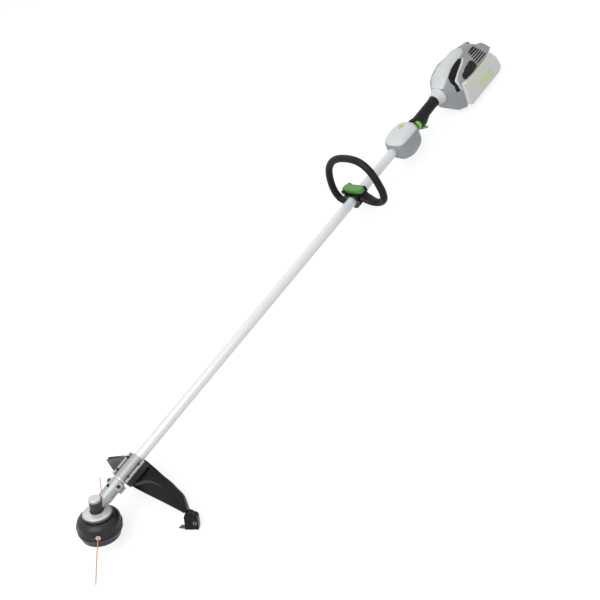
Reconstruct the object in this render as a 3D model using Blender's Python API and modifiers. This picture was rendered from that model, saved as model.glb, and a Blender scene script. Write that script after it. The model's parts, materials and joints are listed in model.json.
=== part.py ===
"""Cordless brush cutter: straight shaft, line head, guard, loop handle, rear grip, motor housing, battery.

Metres, +Z up. The tool lies on the ground as someone puts it down: +X points from the cutting head
to the battery, +Y to the operator's right. Pieces are modelled in the tool's own frame, whose x axis
is the shaft's axis, and an empty turns that frame to the resting pose.
"""
import math

import bmesh
import bpy
from mathutils import Matrix, Vector

# Clearances
SEAT_GAP = 0.0003
RUNNING_GAP = 0.0008

# Shaft
TUBE_DIAMETER = 0.026
TUBE_WALL = 0.0015
TUBE_START = 0.034
TUBE_LENGTH = 1.2485
DRIVE_DIAMETER = 0.007
BUSH_LENGTH = 0.020
BUSH_COUNT = 3
BUSH_FIRST = 0.200

# Gearbox: the head's axis leans from the shaft's axis by this angle
GEARBOX_ANGLE = math.radians(62.0)
GEARBOX_RADIUS = 0.0145
GEARBOX_WALL = 0.0030
GEARBOX_TOP = 0.0260
GEARBOX_BOTTOM = -0.0075
CAP_THICKNESS = 0.0025
NECK_RADIUS = 0.0170
NECK_END = 0.079
CONE_DISTANCE = 0.0170
FACE_WIDTH = 0.0060
PINION_TEETH = 10
GEAR_TEETH = 13
TOOTH_ADDENDUM = 0.0008
TOOTH_DEDENDUM = 0.0013
SPINDLE_DIAMETER = 0.0080
BEARING_WIDTH = 0.0060

# Cutting head, as radii and heights along its own axis
FLANGE_RADIUS = 0.0335
HEAD_RADIUS = 0.0518
HEAD_TOP = -0.0130
HEAD_SPLIT = -0.0500
HEAD_BOTTOM = -0.0780
HEAD_WALL = 0.0025
HUB_RADIUS = 0.0140
HUB_BOTTOM = -0.0300
SPOOL_RADIUS = 0.0440
SPOOL_HEIGHT = 0.0230
KNOB_RADIUS = 0.0210
KNOB_DEPTH = 0.0100
KNOB_TRAVEL = 0.0060
LINE_DIAMETER = 0.0024
LINE_LENGTH = 0.134
LINE_HEIGHT = -0.0430
LINE_DROOP = 0.0140
LINE_REAR_DROOP = 0.0060
LINE_REAR_SWING = 0.0100
LINE_AZIMUTH = math.radians(54.0)

# Guard, as distances behind, beside and above the head's centre
GUARD_HALF_SPAN = 0.158
GUARD_FRONT = 0.084
GUARD_WALL = 0.0030
GUARD_SKIRT_BOTTOM = -0.030
GUARD_BLOCK_PAST = 0.0044
GUARD_BLOCK_AZIMUTH = math.radians(-48.0)
GUARD_BLOCK_BOTTOM = -0.058
GUARD_CLAMP_CENTRE = 0.115
GUARD_CLAMP_LENGTH = 0.064
GUARD_CLAMP_HALF_WIDTH = 0.0265
GUARD_CLAMP_WALL = 0.0040
GUARD_LIP_HEIGHT = 0.0065
GUARD_LIP_WIDTH = 0.0085

# Loop handle
HANDLE_POSITION = 1.039
HANDLE_BAR_RADIUS = 0.0090
HANDLE_HALF_WIDTH = 0.0935
HANDLE_HEIGHT = 0.1145
HANDLE_DROP = 0.0215
HANDLE_LEAN = 0.15
HANDLE_OFFSET = 0.011
HANDLE_RIGHT_DROP = 0.007
HANDLE_ROLL = math.radians(-8.0)
HANDLE_CLAMP_LENGTH = 0.044
HANDLE_CLAMP_HALF_WIDTH = 0.024
HANDLE_CLAMP_TOP = 0.0160

# Front housing on the tube's rear end, then the rear grip, whose middle stands above the shaft's axis
TUBE_SEAT = 0.070
REAR_OFFSET = 0.0045
SHAFT_BORE = 0.0060
FRONT_HOUSING_LENGTH = 0.099
FRONT_HOUSING_HALF_WIDTH = 0.036
FRONT_HOUSING_TOP = 0.032
FRONT_HOUSING_BOTTOM = -0.049
FRONT_HOUSING_PARTING = 0.0200
GRIP_LENGTH = 0.1090
GRIP_RADIUS = 0.0155
GRIP_BELLY = 0.0245
COLLAR_LENGTH = 0.026
COLLAR_RADIUS = 0.0255
HOUSING_WALL = 0.0028
TRIGGER_WIDTH = 0.0090
TRIGGER_DEPTH = 0.0430
LOCK_TRAVEL = 0.0030
LOCK_THICKNESS = 0.0026

# Power head and battery
POWER_HEAD_LENGTH = 0.198
POWER_HEAD_HALF_WIDTH = 0.062
POWER_HEAD_TOP = 0.066
POWER_HEAD_BOTTOM = -0.071
POWER_HEAD_WALL = 0.0032
FRONT_BLOCK_LENGTH = 0.043
BAY_CEILING = 0.0165
HOOD_HALF_WIDTH = 0.0215
HOOD_LENGTH = 0.098
MOTOR_RADIUS = 0.0240
MOTOR_LENGTH = 0.0200
BATTERY_LENGTH = 0.168
BATTERY_HALF_WIDTH = 0.060
BATTERY_BOTTOM = -0.074
BATTERY_GAP = 0.0010
CELL_GAP = 0.0020
VENT_COUNT = 6
VENT_DEPTH = 0.0235
BATTERY_LID_EDGE = 0.0060
RAIL_STEM = 0.0140
RAIL_FLANGE = 0.0200
RAIL_DROP = 0.0065
RAIL_THICKNESS = 0.0050
LATCH_HALF_WIDTH = 0.0180
LATCH_NOTCH = 0.0035

# Places that follow from the sizes above; the guard's end block stands just past its corner
GUARD_BLOCK_REACH = GUARD_HALF_SPAN / math.sin(-GUARD_BLOCK_AZIMUTH) + GUARD_BLOCK_PAST
TUBE_END = TUBE_START + TUBE_LENGTH
FRONT_HOUSING_START = TUBE_END - TUBE_SEAT
GRIP_START = FRONT_HOUSING_START + FRONT_HOUSING_LENGTH + SEAT_GAP
COLLAR_START = GRIP_START + GRIP_LENGTH + SEAT_GAP
POWER_HEAD_START = COLLAR_START + COLLAR_LENGTH + SEAT_GAP
BAY_WALL = POWER_HEAD_START + FRONT_BLOCK_LENGTH
BATTERY_START = BAY_WALL + BATTERY_GAP
BATTERY_END = BATTERY_START + BATTERY_LENGTH

COLLECTION = "Cordless brush cutter"
CUTTERS = "Cutters"

FINISHES = {
    "black plastic": ((0.018, 0.018, 0.019), 0.45, 0.0),
    "black rubber": ((0.012, 0.012, 0.012), 0.75, 0.0),
    "light grey plastic": ((0.62, 0.64, 0.64), 0.42, 0.0),
    "grey plastic": ((0.24, 0.26, 0.26), 0.48, 0.0),
    "dark grey plastic": ((0.10, 0.10, 0.105), 0.5, 0.0),
    "green plastic": ((0.13, 0.42, 0.06), 0.4, 0.0),
    "bright green plastic": ((0.28, 0.62, 0.05), 0.4, 0.0),
    "battery plastic": ((0.50, 0.52, 0.51), 0.45, 0.0),
    "white nylon": ((0.75, 0.74, 0.70), 0.5, 0.0),
    "orange line": ((0.85, 0.25, 0.10), 0.35, 0.0),
    "anodised aluminium": ((0.78, 0.79, 0.80), 0.3, 0.9),
    "cast aluminium": ((0.45, 0.46, 0.47), 0.42, 0.85),
    "steel": ((0.40, 0.40, 0.41), 0.3, 1.0),
    "copper": ((0.72, 0.34, 0.16), 0.35, 1.0),
    "circuit board": ((0.02, 0.16, 0.06), 0.5, 0.0),
}


def clear_scene():
    """Remove every object that the file starts with."""
    for item in list(bpy.data.objects):
        bpy.data.objects.remove(item)


def make_collection(name):
    """A collection linked to the scene."""
    group = bpy.data.collections.new(name)
    bpy.context.scene.collection.children.link(group)
    return group


def finish(piece, kind):
    """Give the piece a material of its own in one of the finishes."""
    colour, roughness, metallic = FINISHES[kind]
    material = bpy.data.materials.new(piece.name + " " + kind)
    material.use_nodes = True
    shader = material.node_tree.nodes["Principled BSDF"]
    shader.inputs["Base Color"].default_value = (*colour, 1.0)
    shader.inputs["Roughness"].default_value = roughness
    shader.inputs["Metallic"].default_value = metallic
    material.diffuse_color = (*colour, 1.0)
    piece.data.materials.clear()
    piece.data.materials.append(material)
    piece.data.shade_smooth()
    piece.data.set_sharp_from_angle(angle=math.radians(35.0))
    return piece


def add_object(name, mesh, parent, kind=None):
    """Link a mesh as a piece, or as a cutter when it has no finish."""
    piece = bpy.data.objects.new(name, mesh)
    piece.parent = parent
    if kind is None:
        bpy.data.collections[CUTTERS].objects.link(piece)
        piece.hide_render = True
        piece.display_type = "WIRE"
    else:
        bpy.data.collections[COLLECTION].objects.link(piece)
        finish(piece, kind)
    return piece


def add_empty(name, parent=None, location=(0.0, 0.0, 0.0), rotation=(0.0, 0.0, 0.0)):
    """A frame for the pieces that it carries."""
    frame = bpy.data.objects.new(name, None)
    frame.empty_display_size = 0.03
    frame.parent = parent
    frame.location = location
    frame.rotation_euler = rotation
    bpy.data.collections[COLLECTION].objects.link(frame)
    return frame


def mesh_from(name, bm):
    """Put a bmesh into a new mesh."""
    mesh = bpy.data.meshes.new(name)
    bm.to_mesh(mesh)
    bm.free()
    return mesh


def box(name, low, high, parent, kind=None, bevel=0.0):
    """A box between two corners, with its edges rounded where bevel is given."""
    low = Vector(low)
    high = Vector(high)
    bm = bmesh.new()
    bmesh.ops.create_cube(bm, size=1.0, matrix=Matrix.LocRotScale((low + high) / 2, None, high - low))
    piece = add_object(name, mesh_from(name, bm), parent, kind)
    if bevel > 0.0:
        edge = piece.modifiers.new("Edges", "BEVEL")
        edge.width = bevel
        edge.segments = 2
        edge.limit_method = "ANGLE"
    return piece


def rod(name, radius, start, end, parent, kind=None, axis="X", centre=(0.0, 0.0), sides=24, end_radius=None):
    """A cylinder or cone along an axis; centre gives the two other coordinates in order."""
    length = end - start
    middle = (start + end) / 2
    bm = bmesh.new()
    bmesh.ops.create_cone(bm, cap_ends=True, segments=sides, radius1=radius,
                          radius2=radius if end_radius is None else end_radius, depth=length)
    if axis == "X":
        bm.transform(Matrix.Translation((middle, centre[0], centre[1])) @ Matrix.Rotation(math.pi / 2, 4, "Y"))
    elif axis == "Y":
        bm.transform(Matrix.Translation((centre[0], middle, centre[1])) @ Matrix.Rotation(-math.pi / 2, 4, "X"))
    else:
        bm.transform(Matrix.Translation((centre[0], centre[1], middle)))
    return add_object(name, mesh_from(name, bm), parent, kind)


def turned(name, profile, parent, kind=None, steps=32, ring=False, along_shaft=False):
    """A profile of (radius, height) turned about the frame's z axis, or about the shaft."""
    mesh = bpy.data.meshes.new(name)
    edges = [(i, i + 1) for i in range(len(profile) - 1)]
    if ring:
        edges.append((len(profile) - 1, 0))
    mesh.from_pydata([(radius, 0.0, height) for radius, height in profile], edges, [])
    piece = add_object(name, mesh, parent, kind)
    if along_shaft:
        piece.rotation_euler = (0.0, math.pi / 2, 0.0)
    turn = piece.modifiers.new("Turn", "SCREW")
    turn.axis = "Z"
    turn.steps = steps
    turn.render_steps = steps
    turn.use_merge_vertices = True
    turn.merge_threshold = 0.00001
    turn.use_smooth_shade = True
    return piece


def sleeve(name, outer, inner, start, end, parent, kind, steps=24, along_shaft=True):
    """A plain ring between two places on its axis."""
    profile = [(outer, end), (outer, start), (inner, start), (inner, end)]
    return turned(name, profile, parent, kind, steps=steps, ring=True, along_shaft=along_shaft)


def rounded(corners, steps=4):
    """An outline whose corners (u, v, radius) are arcs of that radius."""
    points = []
    count = len(corners)
    for index in range(count):
        here = Vector(corners[index][:2])
        radius = corners[index][2]
        before = (Vector(corners[index - 1][:2]) - here).normalized()
        after = (Vector(corners[(index + 1) % count][:2]) - here).normalized()
        if radius <= 0.0:
            points.append(here)
            continue
        half = before.angle(after) / 2
        reach = radius / math.tan(half)
        centre = here + (before + after).normalized() * radius / math.sin(half)
        first = here + before * reach - centre
        sweep = first.angle_signed(here + after * reach - centre)
        for step in range(steps + 1):
            turn = Matrix.Rotation(-sweep * step / steps, 2)
            points.append(centre + turn @ first)
    return points


def inset(corners, wall):
    """The corners of an anticlockwise outline moved inwards by a wall, with radii to match."""
    moved = []
    count = len(corners)
    for index in range(count):
        here = Vector(corners[index][:2])
        before = (here - Vector(corners[index - 1][:2])).normalized()
        after = (Vector(corners[(index + 1) % count][:2]) - here).normalized()
        left_before = Vector((-before.y, before.x))
        left_after = Vector((-after.y, after.x))
        mitre = (left_before + left_after).normalized()
        place = here + mitre * wall / mitre.dot(left_after)
        turn = before.x * after.y - before.y * after.x
        radius = corners[index][2]
        if radius > 0.0:
            radius = max(0.0, radius - wall if turn > 0.0 else radius + wall)
        moved.append((place.x, place.y, radius))
    return moved


def extruded(name, outline, low, high, parent, kind=None, facing="Y"):
    """A flat outline carried from low to high: (x, z) along Y, (y, z) along X or (x, y) along Z."""
    curve = bpy.data.curves.new(name, "CURVE")
    curve.dimensions = "2D"
    curve.fill_mode = "BOTH"
    curve.extrude = (high - low) / 2
    spline = curve.splines.new("POLY")
    spline.points.add(len(outline) - 1)
    for point, place in zip(spline.points, outline):
        point.co = (place[0], place[1], 0.0, 1.0)
    spline.use_cyclic_u = True
    sketch = bpy.data.objects.new(name, curve)
    bpy.context.scene.collection.objects.link(sketch)
    graph = bpy.context.evaluated_depsgraph_get()
    mesh = bpy.data.meshes.new_from_object(sketch.evaluated_get(graph))
    bpy.data.objects.remove(sketch)
    middle = (low + high) / 2
    bm = bmesh.new()
    bm.from_mesh(mesh)
    bmesh.ops.remove_doubles(bm, verts=bm.verts, dist=0.000001)
    if facing == "Y":
        bm.transform(Matrix.Translation((0.0, middle, 0.0)) @ Matrix.Rotation(math.pi / 2, 4, "X"))
    elif facing == "X":
        swap = Matrix(((0, 0, 1, middle), (1, 0, 0, 0), (0, 1, 0, 0), (0, 0, 0, 1)))
        bm.transform(swap)
    else:
        bm.transform(Matrix.Translation((0.0, 0.0, middle)))
    bmesh.ops.recalc_face_normals(bm, faces=bm.faces)
    bm.to_mesh(mesh)
    bm.free()
    return add_object(name, mesh, parent, kind)


def rings_mesh(name, rings, closed=False):
    """Join rings of points, each as long as the next, with quads; the ends are capped unless closed."""
    bm = bmesh.new()
    rows = [[bm.verts.new(point) for point in ring] for ring in rings]
    count = len(rows[0])
    pairs = list(zip(rows[:-1], rows[1:]))
    if closed:
        pairs.append((rows[-1], rows[0]))
    for near, far in pairs:
        for i in range(count):
            j = (i + 1) % count
            bm.faces.new((near[i], near[j], far[j], far[i]))
    if not closed:
        bm.faces.new(list(reversed(rows[0])))
        bm.faces.new(rows[-1])
    bmesh.ops.recalc_face_normals(bm, faces=bm.faces)
    return mesh_from(name, bm)


def loft(name, stations, parent, kind=None, sides=28, grow=0.0):
    """A body along the shaft through sections (x, half width, top, bottom, squareness)."""
    rings = []
    for x, half_width, top, bottom, power in stations:
        middle = (top + bottom) / 2
        half_height = (top - bottom) / 2 + grow
        ring = []
        for i in range(sides):
            angle = 2 * math.pi * (i + 0.5) / sides
            c = math.cos(angle)
            s = math.sin(angle)
            y = (half_width + grow) * math.copysign(abs(c) ** (2 / power), c)
            z = middle + half_height * math.copysign(abs(s) ** (2 / power), s)
            ring.append((x, y, z))
        rings.append(ring)
    return add_object(name, rings_mesh(name, rings), parent, kind)


def smooth_path(points, steps):
    """A curve through the points (Catmull-Rom), with a number of steps for each span."""
    knots = [Vector(p) for p in points]
    knots = [2 * knots[0] - knots[1]] + knots + [2 * knots[-1] - knots[-2]]
    path = []
    for k in range(1, len(knots) - 2):
        a, b, c, d = knots[k - 1:k + 3]
        for step in range(steps):
            t = step / steps
            path.append(0.5 * (2 * b + (c - a) * t + (2 * a - 5 * b + 4 * c - d) * t * t
                               + (3 * b - a - 3 * c + d) * t ** 3))
    path.append(knots[-2])
    return path


def boolean(piece, cutters, operation="DIFFERENCE"):
    """Cut, join or trim the piece with each of the cutters, in order."""
    for cutter in cutters:
        step = piece.modifiers.new(cutter.name, "BOOLEAN")
        step.operation = operation
        step.solver = "EXACT"
        step.object = cutter
    return piece


def pipe(name, path, radius, parent, kind, resolution=2, cyclic=False):
    """A round wire along a path of points, as a curve with filled caps."""
    curve = bpy.data.curves.new(name, "CURVE")
    curve.dimensions = "3D"
    curve.bevel_depth = radius
    curve.bevel_resolution = resolution
    curve.use_fill_caps = True
    spline = curve.splines.new("POLY")
    spline.points.add(len(path) - 1)
    for point, place in zip(spline.points, path):
        point.co = (*place, 1.0)
    spline.use_cyclic_u = cyclic
    wire = bpy.data.objects.new(name, curve)
    bpy.context.scene.collection.objects.link(wire)
    graph = bpy.context.evaluated_depsgraph_get()
    mesh = bpy.data.meshes.new_from_object(wire.evaluated_get(graph))
    bpy.data.objects.remove(wire)
    bm = bmesh.new()
    bm.from_mesh(mesh)
    bmesh.ops.remove_doubles(bm, verts=bm.verts, dist=0.000001)
    bmesh.ops.recalc_face_normals(bm, faces=bm.faces)
    bm.to_mesh(mesh)
    bm.free()
    return add_object(name, mesh, parent, kind)


def pitch_cones():
    """The pitch cone angles of pinion and gear for the gearbox angle and tooth counts."""
    ratio = GEAR_TEETH / PINION_TEETH
    pinion = math.atan2(math.sin(GEARBOX_ANGLE), ratio + math.cos(GEARBOX_ANGLE))
    return pinion, GEARBOX_ANGLE - pinion


def bevel_gear(name, teeth, cone, bore, back, phase, parent, kind):
    """A bevel gear about the frame's z axis with its cone's tip at the origin.

    Rings of four points a tooth run from the bore's small end round the teeth to the back face.
    """
    shrink = (CONE_DISTANCE - FACE_WIDTH) / CONE_DISTANCE
    tip = CONE_DISTANCE * math.sin(cone) + TOOTH_ADDENDUM
    root = CONE_DISTANCE * math.sin(cone) - TOOTH_DEDENDUM
    large = CONE_DISTANCE * math.cos(cone)
    quarters = ((-0.34, root), (-0.13, tip), (0.13, tip), (0.34, root))
    angles = []
    radii = []
    for tooth in range(teeth):
        for offset, radius in quarters:
            angles.append(2 * math.pi * (tooth + phase + offset) / teeth)
            radii.append(radius)

    def circle(scale, height, fixed=None):
        """The points of one ring, on the tooth outline or at a fixed radius."""
        ring = []
        for angle, radius in zip(angles, radii):
            reach = radius * scale if fixed is None else fixed
            ring.append((reach * math.cos(angle), reach * math.sin(angle), height))
        return ring

    hub = root * 0.86
    rings = [circle(1.0, large * shrink, bore), circle(shrink, large * shrink), circle(1.0, large),
             circle(1.0, large, hub), circle(1.0, large + back, hub), circle(1.0, large + back, bore)]
    return add_object(name, rings_mesh(name, rings, closed=True), parent, kind)


def make_shaft(tool):
    """The aluminium tube, the steel drive shaft in it and the nylon bushes that carry it."""
    outer = TUBE_DIAMETER / 2
    bore = outer - TUBE_WALL
    sleeve("shaft_tube", outer, bore, TUBE_START, TUBE_END, tool, "anodised aluminium", steps=36)
    pinion_cone = pitch_cones()[0]
    start = CONE_DISTANCE * math.cos(pinion_cone) - FACE_WIDTH * 0.5
    rod("drive_shaft", DRIVE_DIAMETER / 2, start, BAY_WALL - 0.004, tool, "steel", sides=16)
    span = (TUBE_LENGTH - 2 * (BUSH_FIRST - TUBE_START) - BUSH_LENGTH) / (BUSH_COUNT - 1)
    for index in range(BUSH_COUNT):
        place = BUSH_FIRST + index * span
        sleeve("shaft_bush_%d" % (index + 1), bore - SEAT_GAP, DRIVE_DIAMETER / 2 + SEAT_GAP,
               place, place + BUSH_LENGTH, tool, "white nylon", steps=16)


def make_gearbox(tool, head):
    """The cast gearbox with its neck clamped on the tube, its cap, bearings, screws and bevel gears."""
    chamber = GEARBOX_RADIUS - GEARBOX_WALL
    seat = SPINDLE_DIAMETER / 2 + 0.0060
    upper_seat = GEARBOX_TOP - 0.0005 - BEARING_WIDTH
    lower_seat = GEARBOX_BOTTOM + 0.0005 + BEARING_WIDTH
    body = turned("gearbox_housing", [(0.0, GEARBOX_TOP), (GEARBOX_RADIUS, GEARBOX_TOP),
                                      (GEARBOX_RADIUS, GEARBOX_BOTTOM), (0.0, GEARBOX_BOTTOM)],
                  head, "cast aluminium")
    waist = GEARBOX_RADIUS - 0.0030
    neck = turned("neck_form", [(0.0, NECK_END), (NECK_RADIUS - 0.001, NECK_END),
                                (NECK_RADIUS, NECK_END - 0.0010), (NECK_RADIUS, 0.0285), (waist, 0.0190),
                                (waist, 0.0040), (0.0, 0.0040)], tool, along_shaft=True)
    ears = box("clamp_ears", (NECK_END - 0.022, -NECK_RADIUS - 0.0090, -0.0075),
               (NECK_END - 0.004, -NECK_RADIUS + 0.0050, 0.0075), tool)
    bolt_place = (NECK_END - 0.013, -NECK_RADIUS - 0.0040)
    boolean(body, [neck, ears], "UNION")
    bearing_bore = 0.0098
    cuts = [
        rod("chamber_cut", chamber, lower_seat - 0.001, upper_seat + 0.001, head, axis="Z", sides=32),
        rod("upper_seat_cut", seat + SEAT_GAP, upper_seat, GEARBOX_TOP + 0.005, head, axis="Z", sides=32),
        rod("lower_seat_cut", seat + SEAT_GAP, GEARBOX_BOTTOM - 0.005, lower_seat, head, axis="Z", sides=32),
        rod("neck_cut", bearing_bore, 0.0060, TUBE_START + 0.001, tool, sides=32),
        rod("tube_cut", TUBE_DIAMETER / 2 + SEAT_GAP, TUBE_START - SEAT_GAP, NECK_END + 0.005, tool, sides=36),
        box("neck_slit", (TUBE_START + 0.004, -NECK_RADIUS - 0.013, -0.0012),
            (NECK_END + 0.004, -0.006, 0.0012), tool),
        rod("clamp_bolt_cut", 0.0025 + SEAT_GAP, -0.012, 0.012, tool, axis="Z", centre=bolt_place, sides=16),
        rod("locating_cut", 0.0022 + SEAT_GAP, 0.0145, NECK_RADIUS + 0.004, tool, axis="Z",
            centre=(NECK_END - 0.025, 0.0), sides=16),
    ]
    boolean(body, cuts)
    cap_base = GEARBOX_TOP + SEAT_GAP
    turned("gearbox_cap", [(0.0, cap_base + CAP_THICKNESS), (GEARBOX_RADIUS - 0.0015, cap_base + CAP_THICKNESS),
                           (GEARBOX_RADIUS, cap_base + CAP_THICKNESS - 0.0015), (GEARBOX_RADIUS, cap_base),
                           (0.0, cap_base)], head, "anodised aluminium", steps=28)
    bore = SPINDLE_DIAMETER / 2 + SEAT_GAP
    sleeve("spindle_bearing_upper", seat, bore, upper_seat + 0.0002, upper_seat + BEARING_WIDTH, head, "steel",
           along_shaft=False)
    sleeve("spindle_bearing_lower", seat, bore, lower_seat - BEARING_WIDTH, lower_seat - 0.0002, head, "steel",
           along_shaft=False)
    sleeve("pinion_bearing", bearing_bore - SEAT_GAP, DRIVE_DIAMETER / 2 + SEAT_GAP, 0.0240,
           0.0240 + BEARING_WIDTH, tool, "steel")
    make_screw("gearbox_clamp_bolt", tool, "Z", bolt_place, 0.0025, -0.0095, 0.0078, 0.0042, 0.0034)
    make_screw("gearbox_locating_screw", tool, "Z", (NECK_END - 0.025, 0.0), 0.0022, 0.0148,
               NECK_RADIUS + 0.0003, 0.0036, 0.0026)
    pinion_cone, gear_cone = pitch_cones()
    pinion = bevel_gear("drive_pinion", PINION_TEETH, pinion_cone, DRIVE_DIAMETER / 2 + SEAT_GAP, 0.0050,
                        0.0, tool, "steel")
    pinion.rotation_euler = (0.0, math.pi / 2, 0.0)
    bevel_gear("output_gear", GEAR_TEETH, gear_cone, bore, 0.0040, 0.5, head, "steel")
    spindle_bottom = HUB_BOTTOM + 0.0010
    rod("output_spindle", SPINDLE_DIAMETER / 2, spindle_bottom, GEARBOX_TOP - 0.0006, head, "steel", axis="Z")


def make_screw(name, parent, axis, centre, radius, start, end, head_radius, head_height):
    """A screw along an axis with a round head past its end, turned in one piece."""
    profile = [(0.0, end + head_height), (head_radius - 0.0006, end + head_height),
               (head_radius, end + head_height - 0.0006), (head_radius, end), (radius, end),
               (radius, start), (0.0, start)]
    screw = turned(name, profile, parent, "steel", steps=12)
    if axis == "Y":
        screw.rotation_euler = (-math.pi / 2, 0.0, 0.0)
        screw.location = (centre[0], 0.0, centre[1])
    else:
        screw.location = (centre[0], centre[1], 0.0)
    return screw


def make_cutting_head(head):
    """The silver flange and the line head under it: housing, cover, spool, knob, spring, eyelets, line."""
    bore = SPINDLE_DIAMETER / 2 + SEAT_GAP
    boss = GEARBOX_RADIUS + RUNNING_GAP
    floor = GEARBOX_BOTTOM - 0.0018
    under = HEAD_TOP + 0.0006
    turned("flange_dish", [(boss + 0.0012, -0.0052), (FLANGE_RADIUS - 0.004, -0.0078), (FLANGE_RADIUS, -0.0098),
                           (FLANGE_RADIUS, under + 0.0008), (FLANGE_RADIUS - 0.002, under), (bore, under),
                           (bore, floor), (boss, floor)], head, "anodised aluminium", steps=36, ring=True)
    wall = HEAD_WALL
    r = HEAD_RADIUS
    outer = [(0.030, HEAD_TOP), (0.0345, HEAD_TOP - 0.0015), (0.0345, HEAD_TOP - 0.0035),
             (0.0375, HEAD_TOP - 0.0045), (0.0440, HEAD_TOP - 0.0090), (0.0495, HEAD_TOP - 0.0160),
             (r - 0.0008, HEAD_TOP - 0.0240), (r, HEAD_TOP - 0.0300), (r, HEAD_SPLIT + SEAT_GAP)]
    inner = [(r - wall, HEAD_SPLIT + SEAT_GAP), (r - wall, HEAD_TOP - 0.0290), (0.0465, HEAD_TOP - 0.0175),
             (0.0410, HEAD_TOP - 0.0105), (0.0330, HEAD_TOP - 0.0068), (HUB_RADIUS, HEAD_TOP - 0.0050),
             (HUB_RADIUS, HUB_BOTTOM), (bore, HUB_BOTTOM), (bore, HEAD_TOP)]
    upper = turned("head_upper_housing", outer + inner, head, "black plastic", steps=32, ring=True)
    front = math.pi + LINE_AZIMUTH
    rear = LINE_AZIMUTH
    holes = []
    for label, azimuth in (("front", front), ("rear", rear)):
        hole = rod("eyelet_hole_" + label, 0.0046 + SEAT_GAP, r - 0.008, r + 0.004, head, sides=16)
        hole.matrix_local = radial_frame(azimuth, LINE_HEIGHT)
        holes.append(hole)
    boolean(upper, holes)
    turned("head_lower_cover", [(r + 0.0005, HEAD_SPLIT - SEAT_GAP), (r + 0.0005, HEAD_SPLIT - 0.0060),
                                (r - 0.0020, HEAD_SPLIT - 0.0085), (r - 0.0035, HEAD_SPLIT - 0.0130),
                                (0.0455, HEAD_BOTTOM + 0.0040), (0.0395, HEAD_BOTTOM),
                                (KNOB_RADIUS + RUNNING_GAP, HEAD_BOTTOM),
                                (KNOB_RADIUS + RUNNING_GAP, HEAD_BOTTOM + wall), (0.0385, HEAD_BOTTOM + wall),
                                (0.0430, HEAD_BOTTOM + 0.0060), (r - 0.0065, HEAD_SPLIT - 0.0110),
                                (r - wall, HEAD_SPLIT - SEAT_GAP)], head, "black plastic", steps=32, ring=True)
    spool_top = HUB_BOTTOM - 0.0010
    spool_bottom = spool_top - SPOOL_HEIGHT
    rim = 0.0020
    core = 0.0240
    turned("line_spool", [(SPOOL_RADIUS, spool_top), (SPOOL_RADIUS, spool_top - rim), (core, spool_top - rim),
                          (core, spool_bottom + rim), (SPOOL_RADIUS, spool_bottom + rim),
                          (SPOOL_RADIUS, spool_bottom), (HUB_RADIUS + RUNNING_GAP, spool_bottom),
                          (HUB_RADIUS + RUNNING_GAP, spool_top)], head, "dark grey plastic", steps=32, ring=True)
    knob_top = spool_bottom - KNOB_TRAVEL - RUNNING_GAP
    knob_bottom = HEAD_BOTTOM - KNOB_DEPTH
    recess = knob_bottom + 0.0080
    turned("bump_knob", [(0.0, recess), (0.0120, recess), (0.0120, knob_top), (KNOB_RADIUS, knob_top),
                         (KNOB_RADIUS, knob_bottom + 0.0050), (KNOB_RADIUS - 0.0030, knob_bottom + 0.0015),
                         (0.0120, knob_bottom), (0.0, knob_bottom)], head, "black plastic", steps=28)
    turns = 5
    wire = 0.0008
    low = recess + wire + SEAT_GAP
    high = HUB_BOTTOM - KNOB_TRAVEL - wire - RUNNING_GAP
    coil = []
    for step in range(turns * 8 + 1):
        angle = 2 * math.pi * step / 8
        coil.append((0.0095 * math.cos(angle), 0.0095 * math.sin(angle), low + (high - low) * step / (turns * 8)))
    pipe("bump_spring", coil, wire, head, "steel", resolution=1)
    for label, azimuth, droop, swing in (("front", front, LINE_DROOP, 0.0),
                                         ("rear", rear, LINE_REAR_DROOP, LINE_REAR_SWING)):
        eyelet = turned("line_eyelet_" + label, [(0.0046, r + 0.0004), (0.0046, r - 0.0050), (0.0017, r - 0.0050),
                                                 (0.0017, r + 0.0020), (0.0058, r + 0.0020), (0.0058, r + 0.0004)],
                        head, "steel", steps=16, ring=True)
        eyelet.matrix_local = radial_frame(azimuth, LINE_HEIGHT) @ Matrix.Rotation(math.pi / 2, 4, "Y")
        path = line_path(azimuth, droop, swing)
        pipe("trimmer_line_" + label, path, LINE_DIAMETER / 2, head, "orange line", resolution=2)


def radial_frame(azimuth, height):
    """The frame whose x axis points outwards from the head's axis at an azimuth and height."""
    return Matrix.Translation((0.0, 0.0, height)) @ Matrix.Rotation(azimuth, 4, "Z")


def line_path(azimuth, droop, swing):
    """A line end's route: straight out of its eyelet, then bending down and aside with the square of its reach."""
    start = HEAD_RADIUS - 0.0060
    end = HEAD_RADIUS + LINE_LENGTH
    frame = radial_frame(azimuth, LINE_HEIGHT)
    path = []
    for step in range(13):
        reach = start + (end - start) * step / 12
        free = max(0.0, reach - HEAD_RADIUS - 0.008) / (LINE_LENGTH - 0.008)
        path.append(frame @ Vector((reach, swing * free ** 2, -droop * free ** 2)))
    return path


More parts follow.
